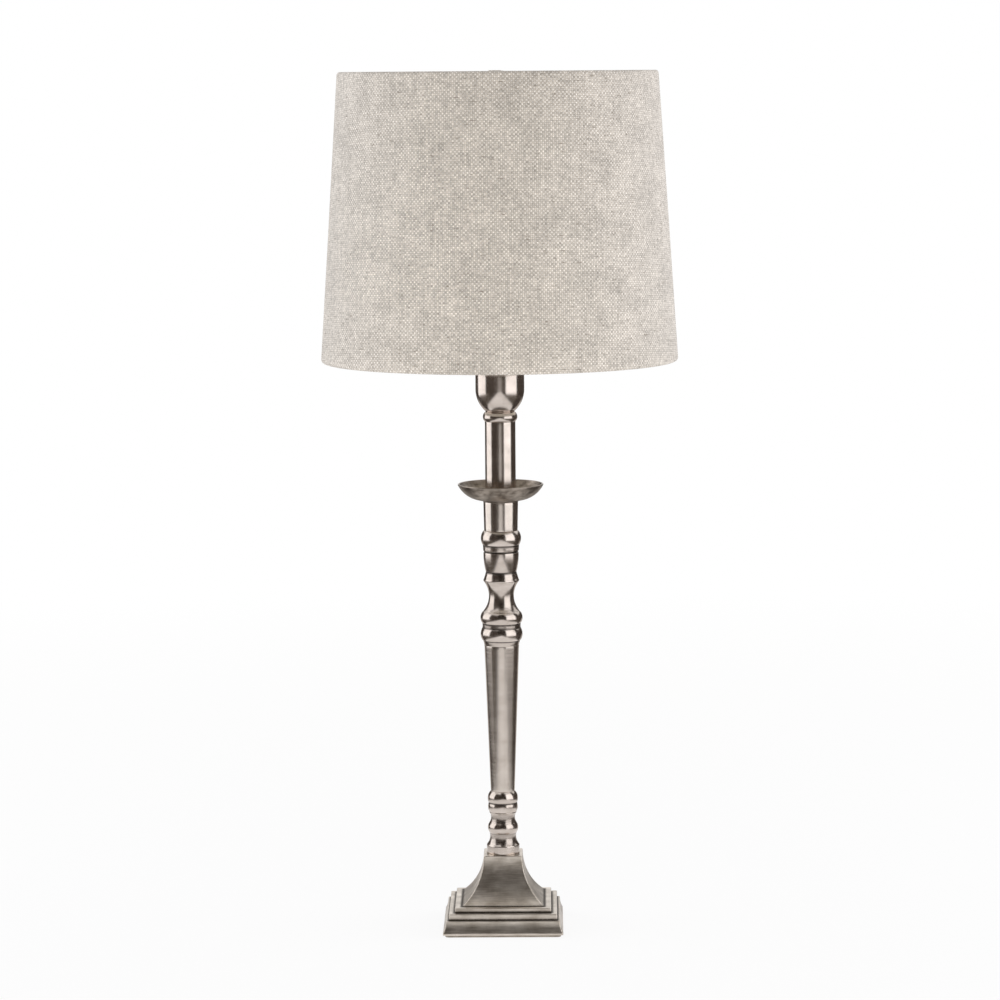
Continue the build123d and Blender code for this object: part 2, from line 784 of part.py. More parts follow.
def bulb_glass():
    """Clear envelope: a ball on a conical neck that stands inside the cap's skirt."""
    neck_top = contact_pip_h + insulator_h + cap_h + neck_rise
    centre = bulb_l - globe_d / 2
    outer_r, inner_r = globe_d / 2, globe_d / 2 - glass_t
    inner_neck_d = neck_d - 2 * glass_t
    outer_x, outer_z = tangent_point((0, centre), outer_r, (neck_d / 2, neck_top), 1)
    inner_x, inner_z = tangent_point((0, centre), inner_r, (inner_neck_d / 2, neck_top), 1)
    section = Section(neck_d, glass_foot()).line(neck_d, neck_top).line(2 * outer_x, outer_z)
    section.arc_through(2 * outer_r, centre, 0, bulb_l).line(0, bulb_l - glass_t)
    section.arc_through(2 * inner_r, centre, 2 * inner_x, inner_z)
    section.line(inner_neck_d, neck_top).line(inner_neck_d, glass_foot())
    return Pos(0, 0, bulb_z) * section.turned()


def stem_top():
    return bulb_z + contact_pip_h + insulator_h + cap_h + stem_l


def bulb_stem():
    """Glass stem that closes the neck and carries the filaments."""
    closing_d = neck_d - 2 * glass_t - 2 * tube_clear
    cone_foot = glass_foot() + stem_foot_t
    cone_middle_d = (stem_cone_d + stem_d) / 2 - stem_foot_t
    section = Section(0, glass_foot()).line(closing_d, glass_foot()).line(closing_d, cone_foot)
    section.line(stem_cone_d, cone_foot)
    section.moulding(cone_middle_d, stem_d, stem_cone_h)
    section.line(stem_d, stem_top() - bulb_z).line(0, stem_top() - bulb_z)
    return Pos(0, 0, bulb_z) * section.turned()


def rod_between(start, end, diameter):
    plane = Plane(origin=start, z_dir=end - start)
    return extrude(plane * Circle(diameter / 2), (end - start).length)


def filament_ends():
    """Foot and top of the filament that lies over +X."""
    rise = sqrt(filament_l**2 - (filament_foot_r - filament_top_r) ** 2)
    foot = Vector(filament_foot_r, 0, stem_top() + filament_rise)
    return foot, Vector(filament_top_r, 0, foot.Z + rise)


def filament_turns():
    return [Rot(0, 0, first_filament + turn * 360 / filament_count) for turn in range(filament_count)]


def bulb_filament(turn):
    foot, top = filament_ends()
    return turn * rod_between(foot, top, filament_d)


def bulb_leads():
    """The wire frame in the bulb: a mast on the stem and a spoke to each end of each filament."""
    foot, top = filament_ends()
    lean = (top - foot).normalized()
    frame = rod_between(Vector(0, 0, stem_top()), Vector(0, 0, top.Z + lead_d), lead_d)
    for turn in filament_turns():
        low = rod_between(Vector(0, 0, stem_top() + lead_d), foot - lean * lead_d / 2, lead_d)
        high = rod_between(Vector(0, 0, top.Z + lead_d / 2), top + lean * lead_d / 2, lead_d)
        frame = frame + turn * low + turn * high
    for turn in filament_turns():
        frame = frame - bulb_filament(turn)
    return frame


def pieces():
    """Every node of the lamp, by name."""
    found = {
        "base_felt": base_felt(),
        "foot": foot(),
        "cord_bush": cord_bush(),
        "lower_knop": lower_knop(),
        "ferrule": ferrule(),
        "shaft": shaft(),
        "collar_knop": collar_knop(),
        "waist": waist(),
        "vase_knop": vase_knop(),
        "socket_tube": socket_tube(),
        "drip_pan": drip_pan(),
        "candle_bush": candle_bush(),
        "candle_tube": candle_tube(),
        "neck_ring": neck_ring(),
        "holder_cup": holder_cup(),
        "centre_rod": centre_rod(),
        "rod_nuts": rod_nuts(),
        "rod_washers": rod_washers(),
        "holder_base": holder_base(),
        "contact_block": contact_block(),
        "terminal_screws": terminal_screws(),
        "centre_contact": centre_contact(),
        "screw_shell": screw_shell(),
        "holder_skirt": holder_skirt(),
        "reducer_ring": reducer_ring(),
        "fitter_ring": fitter_ring(),
        "shade_ring_nut": shade_ring_nut(),
        "shade_linen": shade_linen(),
        "shade_liner": shade_liner(),
        "bulb_contact": bulb_contact(),
        "bulb_insulator": bulb_insulator(),
        "bulb_cap": bulb_cap(),
        "bulb_glass": bulb_glass(),
        "bulb_stem": bulb_stem(),
        "bulb_leads": bulb_leads(),
    }
    for rim in ("bottom", "top"):
        found[f"{rim}_wire"] = shade_wire(rim)
    for number, angle in enumerate(shade_arms(), 1):
        found[f"shade_arm_{number}"] = shade_arm(angle)
    for number, turn in enumerate(filament_turns(), 1):
        found[f"bulb_filament_{number}"] = bulb_filament(turn)
    return found


os.makedirs("parts", exist_ok=True)
for node, shape in pieces().items():
    export_step(shape, f"parts/{node}.step")
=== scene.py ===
"""Dresses the candlestick table lamp: turned pewter column, stepped foot, linen shade and filament bulb.

Sizes in the classes are millimetres, as a maker would write them; meshes are in metres. Every new piece is a
surface worked out as whole arrays: a half section carried round the axis, a moulding carried round a square,
a thread, or a sheet of cloth rolled round its wires.
"""

import logging
import math
from dataclasses import dataclass, field
from enum import Enum
from typing import Any

import bmesh
import bpy
import numpy as np
from mathutils import Matrix, Vector


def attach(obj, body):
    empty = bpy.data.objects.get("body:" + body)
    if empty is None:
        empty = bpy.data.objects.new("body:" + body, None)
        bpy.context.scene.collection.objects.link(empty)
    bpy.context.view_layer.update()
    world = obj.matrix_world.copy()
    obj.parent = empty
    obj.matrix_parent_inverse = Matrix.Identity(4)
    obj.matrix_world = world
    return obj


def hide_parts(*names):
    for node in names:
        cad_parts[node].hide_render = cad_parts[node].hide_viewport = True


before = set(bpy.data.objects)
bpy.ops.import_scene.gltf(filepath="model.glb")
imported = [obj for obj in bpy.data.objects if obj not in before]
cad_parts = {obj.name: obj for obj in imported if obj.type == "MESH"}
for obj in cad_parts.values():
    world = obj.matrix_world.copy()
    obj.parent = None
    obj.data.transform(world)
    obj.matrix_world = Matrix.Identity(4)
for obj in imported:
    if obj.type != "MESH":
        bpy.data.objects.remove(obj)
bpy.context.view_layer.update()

MM = 0.001
LOG = logging.getLogger("candlestick_lamp")

FULL_TURN = 2 * math.pi
COINCIDENT = 1e-7  # points no further apart than this are one
EASED_SHARE = 0.42  # how much of a run an eased corner may take, so that its neighbour keeps its own
EASED_STEPS = 6
CORNER_FROM = math.radians(18)  # the smallest turn that counts as a corner


# ---------------------------------------------------------------- profiles


def within_half_turn(angle: float) -> float:
    """The same direction as an angle between minus and plus half a turn."""
    return (angle + math.pi) % FULL_TURN - math.pi


def run_lengths(path: np.ndarray) -> np.ndarray:
    """The length along a path from its first point to each point."""
    return np.concatenate([[0], np.cumsum(np.hypot(*np.diff(path, axis=0).T))])


def spots(path: np.ndarray, run: np.ndarray, wanted: np.ndarray) -> np.ndarray:
    """Points of a path at wanted lengths, from the lengths at its own points."""
    return np.stack([np.interp(wanted, run, column) for column in path.T], -1)


def arc_middle(start: np.ndarray, heading: np.ndarray, end: np.ndarray) -> np.ndarray:
    """The middle of the arc that leaves start along heading and ends at end.

    Formula: the chord makes angle a with the heading, so the middle lies a/2 off it, half a chord / cos(a/2)
    away.

    Args:
        start: Where the arc starts.
        heading: Its direction there, of any length.
        end: Where it ends.

    Returns:
        The point halfway along the arc.
    """
    chord = np.asarray(end, float) - start
    leaving = math.atan2(heading[1], heading[0])
    turn = within_half_turn(math.atan2(chord[1], chord[0]) - leaving)
    angle = leaving + turn / 2
    reach = np.hypot(*chord) / (2 * math.cos(turn / 2))
    return start + reach * np.array([math.cos(angle), math.sin(angle)])


def arc_points(start: np.ndarray, middle: np.ndarray, end: np.ndarray, step: float) -> np.ndarray:
    """Points on the circle through three points, without the first.

    Formula: the centre is equally far from all three, which is two linear equations; the angle then runs
    evenly.

    Args:
        start: Where the arc starts.
        middle: Any point on it.
        end: Where it ends.
        step: The longest distance between neighbours.

    Returns:
        An array of points, count by 2.
    """
    rows = np.array([middle - start, end - start])
    sums = 0.5 * np.array([middle @ middle - start @ start, end @ end - start @ start])
    centre = np.linalg.solve(rows, sums)
    radius = np.hypot(*(start - centre))
    angles = [math.atan2(*(point - centre)[::-1]) for point in (start, middle, end)]
    sweep = within_half_turn(angles[1] - angles[0]) + within_half_turn(angles[2] - angles[1])
    count = max(4, math.ceil(abs(sweep) * radius / step))
    run = angles[0] + sweep * np.linspace(0, 1, count + 1)[1:]
    return centre + radius * np.stack([np.cos(run), np.sin(run)], -1)


def softened(path: np.ndarray, radius: float) -> np.ndarray:
    """A closed path with its corners eased.

    Formula: within reach r of a corner c the path becomes the parabola (1-t)^2 a + 2t(1-t) c + t^2 b, whose
    ends a and b lie on the path r before and after the corner, so it leaves and joins along the path.

    Args:
        path: Points in order, count by 2 or more columns, of which the first two are the shape.
        radius: How far from each corner the easing reaches.

    Returns:
        The eased path, with the same columns.
    """
    loop = np.vstack([path, path[:1]])
    apart = np.hypot(*np.diff(loop[:, :2], axis=0).T) > COINCIDENT
    loop = loop[np.concatenate([[True], apart])]
    steps, at = np.diff(loop[:, :2], axis=0), run_lengths(loop[:, :2])
    heading = np.unwrap(np.arctan2(steps[:, 1], steps[:, 0]))
    corners = np.flatnonzero(np.abs(np.diff(heading)) > CORNER_FROM) + 1
    if not len(corners):
        return loop[:-1]
    where = at[corners]
    before, after = np.diff([0, *where]), np.diff([*where, at[-1]])
    reach = np.minimum(radius, EASED_SHARE * np.minimum(before, after))
    far = np.all(np.abs(at[:, None] - where) > reach + COINCIDENT, axis=1)
    share = np.linspace(0, 1, EASED_STEPS)
    t = share[None, :, None]
    first, last = spots(loop, at, where - reach)[:, None], spots(loop, at, where + reach)[:, None]
    eased = (1 - t) ** 2 * first + 2 * t * (1 - t) * loop[corners][:, None] + t**2 * last
    places = (where - reach)[:, None] + 2 * reach[:, None] * share
    order = np.argsort(np.concatenate([at[far], places.ravel()]), kind="stable")
    result = np.concatenate([loop[far], eased.reshape(-1, loop.shape[1])])[order]
    return result[:-1] if far[-1] and far[0] else result


class Profile:
    """A half section: a loop of straight and curved runs, as (radius, height), drawn from diameters."""

    def __init__(self, diameter: float, z: float, step: float = 0.55) -> None:
        """Starts the loop at a diameter and a height."""
        self.runs = [np.array([[diameter / 2, z]], float)]
        self.step = step

    @property
    def here(self) -> np.ndarray:
        """The last point drawn."""
        return self.runs[-1][-1]

    def line(self, diameter: float, z: float) -> "Profile":
        """A straight run to a diameter and a height, with points along it for its marks."""
        way = np.array([diameter / 2, z]) - self.here
        count = max(1, math.ceil(np.hypot(*way) / (4 * self.step)))
        self.runs.append(self.here + np.linspace(0, 1, count + 1)[1:, None] * way)
        return self

    def corners(self, *places: tuple[float, float]) -> "Profile":
        """Straight runs with nothing between their ends, each to a diameter and a height."""
        self.runs.extend(np.array([[diameter / 2, z]], float) for diameter, z in places)
        return self

    def rise(self, diameter: float, height: float) -> "Profile":
        """A straight side up to the next diameter."""
        return self.line(diameter, self.here[1] + height)

    def through(self, middle_d: float, middle_z: float, diameter: float, z: float) -> "Profile":
        """The arc through one point to another."""
        middle, end = np.array([middle_d / 2, middle_z]), np.array([diameter / 2, z])
        self.runs.append(arc_points(self.here, middle, end, self.step))
        return self

    def moulding(self, middle_d: float, top_d: float, height: float) -> "Profile":
        """A bead or a cove: the arc through middle_d at half its height."""
        foot = self.here[1]
        return self.through(middle_d, foot + height / 2, top_d, foot + height)

    def leaving(self, heading: tuple[float, float], diameter: float, z: float) -> "Profile":
        """The arc that leaves along a direction."""
        end = np.array([diameter / 2, z])
        middle = arc_middle(self.here, np.array(heading, float), end)
        self.runs.append(arc_points(self.here, middle, end, self.step))
        return self

    def arriving(self, heading: tuple[float, float], diameter: float, z: float) -> "Profile":
        """The arc that arrives along a direction."""
        end = np.array([diameter / 2, z])
        middle = arc_middle(end, -np.array(heading, float), self.here)
        self.runs.append(arc_points(self.here, middle, end, self.step))
        return self

    def points(self, ease: float = 0.0) -> np.ndarray:
        """All the points in order, with the corners eased."""
        path = np.vstack(self.runs)
        if np.hypot(*(path[0] - path[-1])) < COINCIDENT:
            path = path[:-1]
        return softened(path, ease) if ease > 0 else path


def relief(path: np.ndarray, window: float) -> np.ndarray:
    """How far a closed path lies inside (+) or outside (-) the chord round each point.

    Formula: half the sum of the points a window before and after, less the point, along the normal.

    Args:
        path: The closed path, count by 2.
        window: How far along the path the chord reaches each way.

    Returns:
        One number a point, positive in a hollow and negative on an arris.
    """
    loop = np.vstack([path, path[:1]])
    at = run_lengths(loop)
    before, after = (spots(loop, at, (at[:-1] + way) % at[-1]) for way in (-window, window))
    heading = after - before
    heading /= np.maximum(np.hypot(*heading.T), COINCIDENT)[:, None]
    area = 0.5 * np.sum(loop[:-1, 0] * loop[1:, 1] - loop[1:, 0] * loop[:-1, 1])
    outward = np.stack([heading[:, 1], -heading[:, 0]], -1) * (1 if area > 0 else -1)
    return np.sum((0.5 * (before + after) - path) * outward, axis=1)


@dataclass(frozen=True)
class Rubbing:
    """Where polishing leaves the oxide and where it bares the metal, from the relief of a section.

    Attributes:
        fine: The chord that feels an edge or a groove.
        broad: The chord that feels a wide hollow.
        groove: The fine relief that keeps all its oxide.
        broad_share: How much oxide a wide hollow keeps.
        broad_from: The broad relief at which that begins.
        broad_depth: How much deeper it is full.
        edge: The fine relief of an arris rubbed quite bright.
        edge_from: The share of it that is not rubbed yet.
    """

    fine: float = 1.0
    broad: float = 2.6
    groove: float = 0.35
    broad_share: float = 0.6
    broad_from: float = 0.25
    broad_depth: float = 1.2
    edge: float = 0.35
    edge_from: float = 0.1

    def marks(self, path: np.ndarray) -> tuple[np.ndarray, np.ndarray]:
        """How hollow and how worn each point of a closed section is, from 0 to 1."""
        fine, broad = relief(path, self.fine), relief(path, self.broad)
        hollow = np.clip(fine / self.groove, 0, 1)
        hollow = hollow + self.broad_share * np.clip((broad - self.broad_from) / self.broad_depth, 0, 1)
        return np.clip(hollow, 0, 1), np.clip(-fine / self.edge - self.edge_from, 0, 1)


# ---------------------------------------------------------------- surfaces


@dataclass
class Surface:
    """A grid of points over two parameters, in millimetres, that becomes one mesh.

    Attributes:
        points: rows by columns by 3.
        loop_rows: The last row joins the first.
        loop_columns: The last column joins the first.
        laid: UV in metres, one row and column more than points where that way is a loop.
        marks: Numbers on the points, by attribute name, each rows by columns.
        capped: Closes the two end rows, where the columns are a thin loop, as many points out as back.
    """

    points: np.ndarray
    loop_rows: bool = False
    loop_columns: bool = False
    laid: np.ndarray | None = None
    marks: dict[str, np.ndarray] = field(default_factory=dict)
    capped: bool = False

    def build(self, name: str, sharp_from: float = 40.0, lift: float = 0.0) -> bpy.types.Object:
        """Makes the mesh and its object.

        Args:
            name: The object's name.
            sharp_from: Edges that fold by more degrees than this stay crisp.
            lift: How far the surface is raised from where it was drawn.

        Returns:
            The object, linked to the scene, at the origin.
        """
        rows, columns = self.points.shape[:2]
        i = np.arange(rows if self.loop_rows else rows - 1)[:, None]
        j = np.arange(columns if self.loop_columns else columns - 1)[None, :]
        corners = [(i, j), (i, j + 1), (i + 1, j + 1), (i + 1, j)]
        quads = np.stack([(a % rows) * columns + b % columns for a, b in corners], -1).reshape(-1, 4)
        laid = self.laid
        if laid is not None:
            laid = np.stack([laid[a, b] for a, b in corners], -2).reshape(-1, 2)
        if self.capped:
            k = np.arange(columns // 2 - 1)
            strip = np.stack([k, k + 1, columns - 2 - k, columns - 1 - k], -1)
            quads = np.vstack([quads, strip, strip + (rows - 1) * columns])
            if laid is not None:
                laid = np.vstack([laid, *(self.laid[row][strip].reshape(-1, 2) for row in (0, rows - 1))])
        mesh = bpy.data.meshes.new(name)
        places = self.points.reshape(-1, 3) + np.array([0.0, 0.0, lift])
        mesh.from_pydata((places * MM).tolist(), [], quads.tolist())
        if laid is not None:
            layer = mesh.uv_layers.new(name="laid")
            layer.data.foreach_set("uv", laid.astype(np.float32).ravel())
        for mark, values in self.marks.items():
            attribute = mesh.attributes.new(mark, "FLOAT", "POINT")
            attribute.data.foreach_set("value", values.astype(np.float32).ravel())
        close_up(mesh, sharp_from)
        return linked(name, mesh)


def close_up(mesh: bpy.types.Mesh, sharp_from: float) -> None:
    """Merges poles and seams, points the faces outwards and shades them smooth up to an angle."""
    work = bmesh.new()
    work.from_mesh(mesh)
    bmesh.ops.remove_doubles(work, verts=work.verts, dist=COINCIDENT)
    bmesh.ops.recalc_face_normals(work, faces=work.faces)
    work.to_mesh(mesh)
    work.free()
    mesh.shade_smooth()
    mesh.set_sharp_from_angle(angle=math.radians(sharp_from))
    mesh.update()


def linked(name: str, mesh: bpy.types.Mesh) -> bpy.types.Object:
    """An object for a mesh, in the scene."""
    piece = bpy.data.objects.new(name, mesh)
    bpy.context.scene.collection.objects.link(piece)
    return piece


def unrolled(path: np.ndarray, around: np.ndarray) -> np.ndarray:
    """UV in metres of a closed section carried round: the length round by the length along the section."""
    along = run_lengths(np.vstack([path, path[:1]]))
    return np.stack(np.broadcast_arrays(around[None, :], along[:, None]), -1) * MM


def turned(path: np.ndarray, sides: int = 160, wave: np.ndarray | float = 0.0) -> Surface:
    """A closed half section carried round the axis.

    Formula: x = r cos a, y = r sin a, z = z; the UV is the length round the mean radius and along the
    section.

    Args:
        path: The section, count by 2, as (radius, height).
        sides: How many steps round.
        wave: Added to the radius, count by sides.

    Returns:
        The surface, with its hollow and worn marks.
    """
    angle = np.linspace(0, FULL_TURN, sides, endpoint=False)
    radius, height = (np.repeat(column[:, None], sides, axis=1) for column in path.T)
    radius = radius + wave
    points = np.stack([radius * np.cos(angle), radius * np.sin(angle), height], -1)
    around = np.linspace(0, FULL_TURN, sides + 1) * max(float(np.mean(path[:, 0])), 1.0)
    hollow, worn = (np.repeat(mark[:, None], sides, axis=1) for mark in Rubbing().marks(path))
    return Surface(points, True, True, unrolled(path, around), {"hollow": hollow, "worn": worn})


def threaded(
    path: np.ndarray, pitch: float, depth: float, band: tuple[float, float], fade: float,
    carries: np.ndarray, sides: int = 72,
) -> Surface:
    """A turned piece whose wall carries a round thread.

    Formula: the radius changes by half the depth times (1 - cos(2 pi (z / pitch - a / 2 pi))), faded out at
    both ends of its band.

    Args:
        path: The section, as (radius, height), at the thread's crests.
        pitch: From one crest to the next.
        depth: From crest to root.
        band: The lowest and highest height that the thread covers.
        fade: How far from the band's ends it is full.
        carries: For each point of the section 1 where the root lies outwards, -1 where inwards, 0 for none.
        sides: How many steps round.

    Returns:
        The surface.
    """
    angle = np.linspace(0, FULL_TURN, sides, endpoint=False)
    z = path[:, 1][:, None]
    full = np.clip((z - band[0]) / fade, 0, 1) * np.clip((band[1] - z) / fade, 0, 1)
    wave = depth / 2 * (1 - np.cos(FULL_TURN * (z / pitch - angle / FULL_TURN)))
    return turned(path, sides, wave * full * carries[:, None])


def square_ring(half: np.ndarray, ease: np.ndarray, roundness: np.ndarray) -> tuple[np.ndarray, np.ndarray]:
    """Rings round the axis that go from a square with eased corners to a circle.

    Formula: a square's point is (half - ease) times the unit square plus ease times the corner's unit
    circle; a circle's point has the same bearing. The ring is their mix by roundness.

    Args:
        half: Half width of each ring.
        ease: Corner radius of each ring.
        roundness: 0 for a square, 1 for a circle.

    Returns:
        Points, rings by count by 2, and how near each point of a ring is to a corner, from 0 to 1.
    """
    side = np.sin(np.linspace(-1, 1, 19) * math.pi / 2)
    bend = np.radians(np.linspace(0, 90, 8)[1:-1])
    square = np.vstack([np.stack([np.ones_like(side), side], -1), np.ones((len(bend), 2))])
    corner = np.vstack([np.tile([1.0, 0.0], (len(side), 1)), np.stack([np.cos(bend), np.sin(bend)], -1)])
    quarters = np.radians([0, 90, 180, 270])
    turns = [np.array([[math.cos(q), math.sin(q)], [-math.sin(q), math.cos(q)]]) for q in quarters]
    square = np.vstack([square @ turn for turn in turns])
    corner = np.vstack([corner @ turn for turn in turns])
    points = (half - ease)[:, None, None] * square + ease[:, None, None] * corner
    bearing = np.arctan2(square[:, 1] + 0.02 * corner[:, 1], square[:, 0] + 0.02 * corner[:, 0])
    circle = half[:, None, None] * np.stack([np.cos(bearing), np.sin(bearing)], -1)
    mixed = points + roundness[:, None, None] * (circle - points)
    near = np.clip((np.min(np.abs(square), axis=1) - 0.97) / 0.03, 0, 1)
    return mixed, near


# ---------------------------------------------------------------- materials


def linear(hex_code: str) -> tuple[float, float, float, float]:
    """An sRGB colour such as #a1b2c3 as Blender's linear one."""
    srgb = np.array([int(hex_code[i : i + 2], 16) for i in (1, 3, 5)]) / 255
    flat = np.where(srgb <= 0.04045, srgb / 12.92, ((srgb + 0.055) / 1.055) ** 2.4)
    return (*flat.tolist(), 1.0)


def add_node(
    tree: bpy.types.NodeTree, kind: str, *inputs: Any, settings: dict[str, Any] | None = None, **sockets: Any
) -> bpy.types.Node:
    """Adds one node with its settings and links.

    Args:
        tree: The node tree that it goes into.
        kind: The node's type, without the words that every shader node's type starts with.
        inputs: Values for the sockets in use, in order: a number, a hex colour, an output, or a node, which
            stands for its first output in use.
        settings: The node's own properties.
        sockets: Values by the socket's name, with _ for a space.

    Returns:
        The node.
    """
    node = tree.nodes.new("ShaderNode" + kind)
    for name, value in (settings or {}).items():
        setattr(node, name, value)
    in_use = [socket for socket in node.inputs if socket.enabled]
    named = [(node.inputs[name.replace("_", " ")], value) for name, value in sockets.items()]
    for socket, value in [*zip(in_use, inputs), *named]:
        if isinstance(value, bpy.types.Node):
            value = next(output for output in value.outputs if output.enabled)
        if isinstance(value, bpy.types.NodeSocket):
            tree.links.new(value, socket)
        else:
            socket.default_value = linear(value) if isinstance(value, str) else value
    return node


ADD, MULTIPLY, MAXIMUM, MODULO, FLOOR, ABSOLUTE, SINE, SCALE, LENGTH = (
    {"operation": name}
    for name in ("ADD", "MULTIPLY", "MAXIMUM", "MODULO", "FLOOR", "ABSOLUTE", "SINE", "SCALE", "LENGTH")
)
COLOURS = {"data_type": "RGBA"}


def per_size(*millimetres: float) -> tuple[float, ...]:
    """The scales that make a pattern's unit as large as these sizes."""
    return tuple(1 / (size * MM) for size in millimetres)


@dataclass
class Recipe:
    """A material being made: its tree and its two coordinate outputs."""

    name: str
    material: bpy.types.Material = field(init=False)
    tree: bpy.types.NodeTree = field(init=False)
    place: bpy.types.NodeSocket = field(init=False)
    laid: bpy.types.NodeSocket = field(init=False)

    def __post_init__(self) -> None:
        """Makes the empty material with its coordinates."""
        self.material = bpy.data.materials.new(self.name)
        self.material.use_nodes = True
        self.tree = self.material.node_tree
        self.tree.nodes.clear()
        coordinates = self.add("TexCoord").outputs
        self.place, self.laid = coordinates["Object"], coordinates["UV"]

    def add(self, kind: str, *inputs: Any, **named: Any) -> bpy.types.Node:
        """Adds a node to this material, with its settings and its sockets by name."""
        return add_node(self.tree, kind, *inputs, **named)

    def finish(self, surface: bpy.types.Node) -> bpy.types.Material:
        """Ends the material in a shader."""
        self.add("OutputMaterial", surface)
        return self.material


@dataclass(frozen=True)
class AntiquePewter:
    """Turned brass, nickelled, oxidised and brushed back: warm grey, dark in hollows, pale at its arrises.

    Attributes:
        name: The material's name.
        bright: The brushed metal.
        dull: The same where the oxide has not been rubbed off.
        oxide: The hollows.
        arris: Edges worn by handling.
        roughness: Of the brushed metal; turned pieces are smoother than the casting.
        streak: Length and width of a brush mark, drawn twice as coarse as real so that it shows.
        cloud: Size of the patches where the oxide was rubbed more or less.
        scratch: Depth of the brush marks.
        wear: How far the edges are rubbed bright, from 0 to 1.
        stretch: How much more the finish blurs across its brush marks than along them.
    """

    name: str
    bright: str
    dull: str
    oxide: str
    arris: str
    roughness: float
    streak: tuple[float, float]
    cloud: float
    scratch: float
    wear: float
    stretch: float = 0.55

    def make(self) -> bpy.types.Material:
        """Builds the material."""
        it = Recipe(self.name)
        named = ({"attribute_name": mark} for mark in ("hollow", "worn"))
        hollow, worn = (it.add("Attribute", settings=mark).outputs["Fac"] for mark in named)
        brush, cloud, speck = (
            it.add("TexNoise", it.add("Mapping", at, Scale=per_size(*sizes)), Scale=1.0, Detail=detail)
            for at, sizes, detail in (
                (it.laid, (*self.streak, 1.0), 3.0),
                (it.place, (self.cloud, self.cloud, self.cloud * 0.7), 4.0),
                (it.place, (1.1, 1.1, 1.1), 2.0),
            )
        )
        rubbing = it.add("Math", cloud, it.add("Math", brush, 0.45, settings=MULTIPLY), settings=ADD)
        rubbed = it.add("MapRange", rubbing, 0.5, 0.95)
        metal = it.add("Mix", rubbed, self.dull, self.bright, settings=COLOURS)
        broken = it.add("MapRange", speck, 0.25, 0.6, 0.75, 1.0)
        in_hollow = it.add("Math", hollow, broken, settings=MULTIPLY)
        oxidised = it.add("MapRange", in_hollow, 0.08, 0.8, 0.0, 0.92)
        metal = it.add("Mix", oxidised, metal, self.oxide, settings=COLOURS)
        rubbed_edge = it.add("MapRange", worn, 0.1, 1.0, 0.0, self.wear)
        metal = it.add("Mix", rubbed_edge, metal, self.arris, settings=COLOURS)
        pit = it.add("Math", it.add("MapRange", speck, 0.30, 0.22), 0.35, settings=MULTIPLY)
        metal = it.add("Mix", pit, metal, self.oxide, settings=COLOURS)
        rough = it.add("MapRange", brush, 0.3, 0.7, self.roughness - 0.03, self.roughness + 0.05)
        rough = it.add("Math", rough, it.add("Math", in_hollow, 0.22, settings=MULTIPLY), settings=ADD)
        scratches = it.add("Bump", Height=brush, Distance=self.scratch * MM, Strength=0.6)
        return it.finish(it.add(
            "BsdfPrincipled", Base_Color=metal, Metallic=1.0, Roughness=rough, Normal=scratches,
            Anisotropic=self.stretch, Anisotropic_Rotation=0.25,
            Tangent=it.add("Tangent", settings={"direction_type": "UV_MAP", "uv_map": "laid"}),
        ))


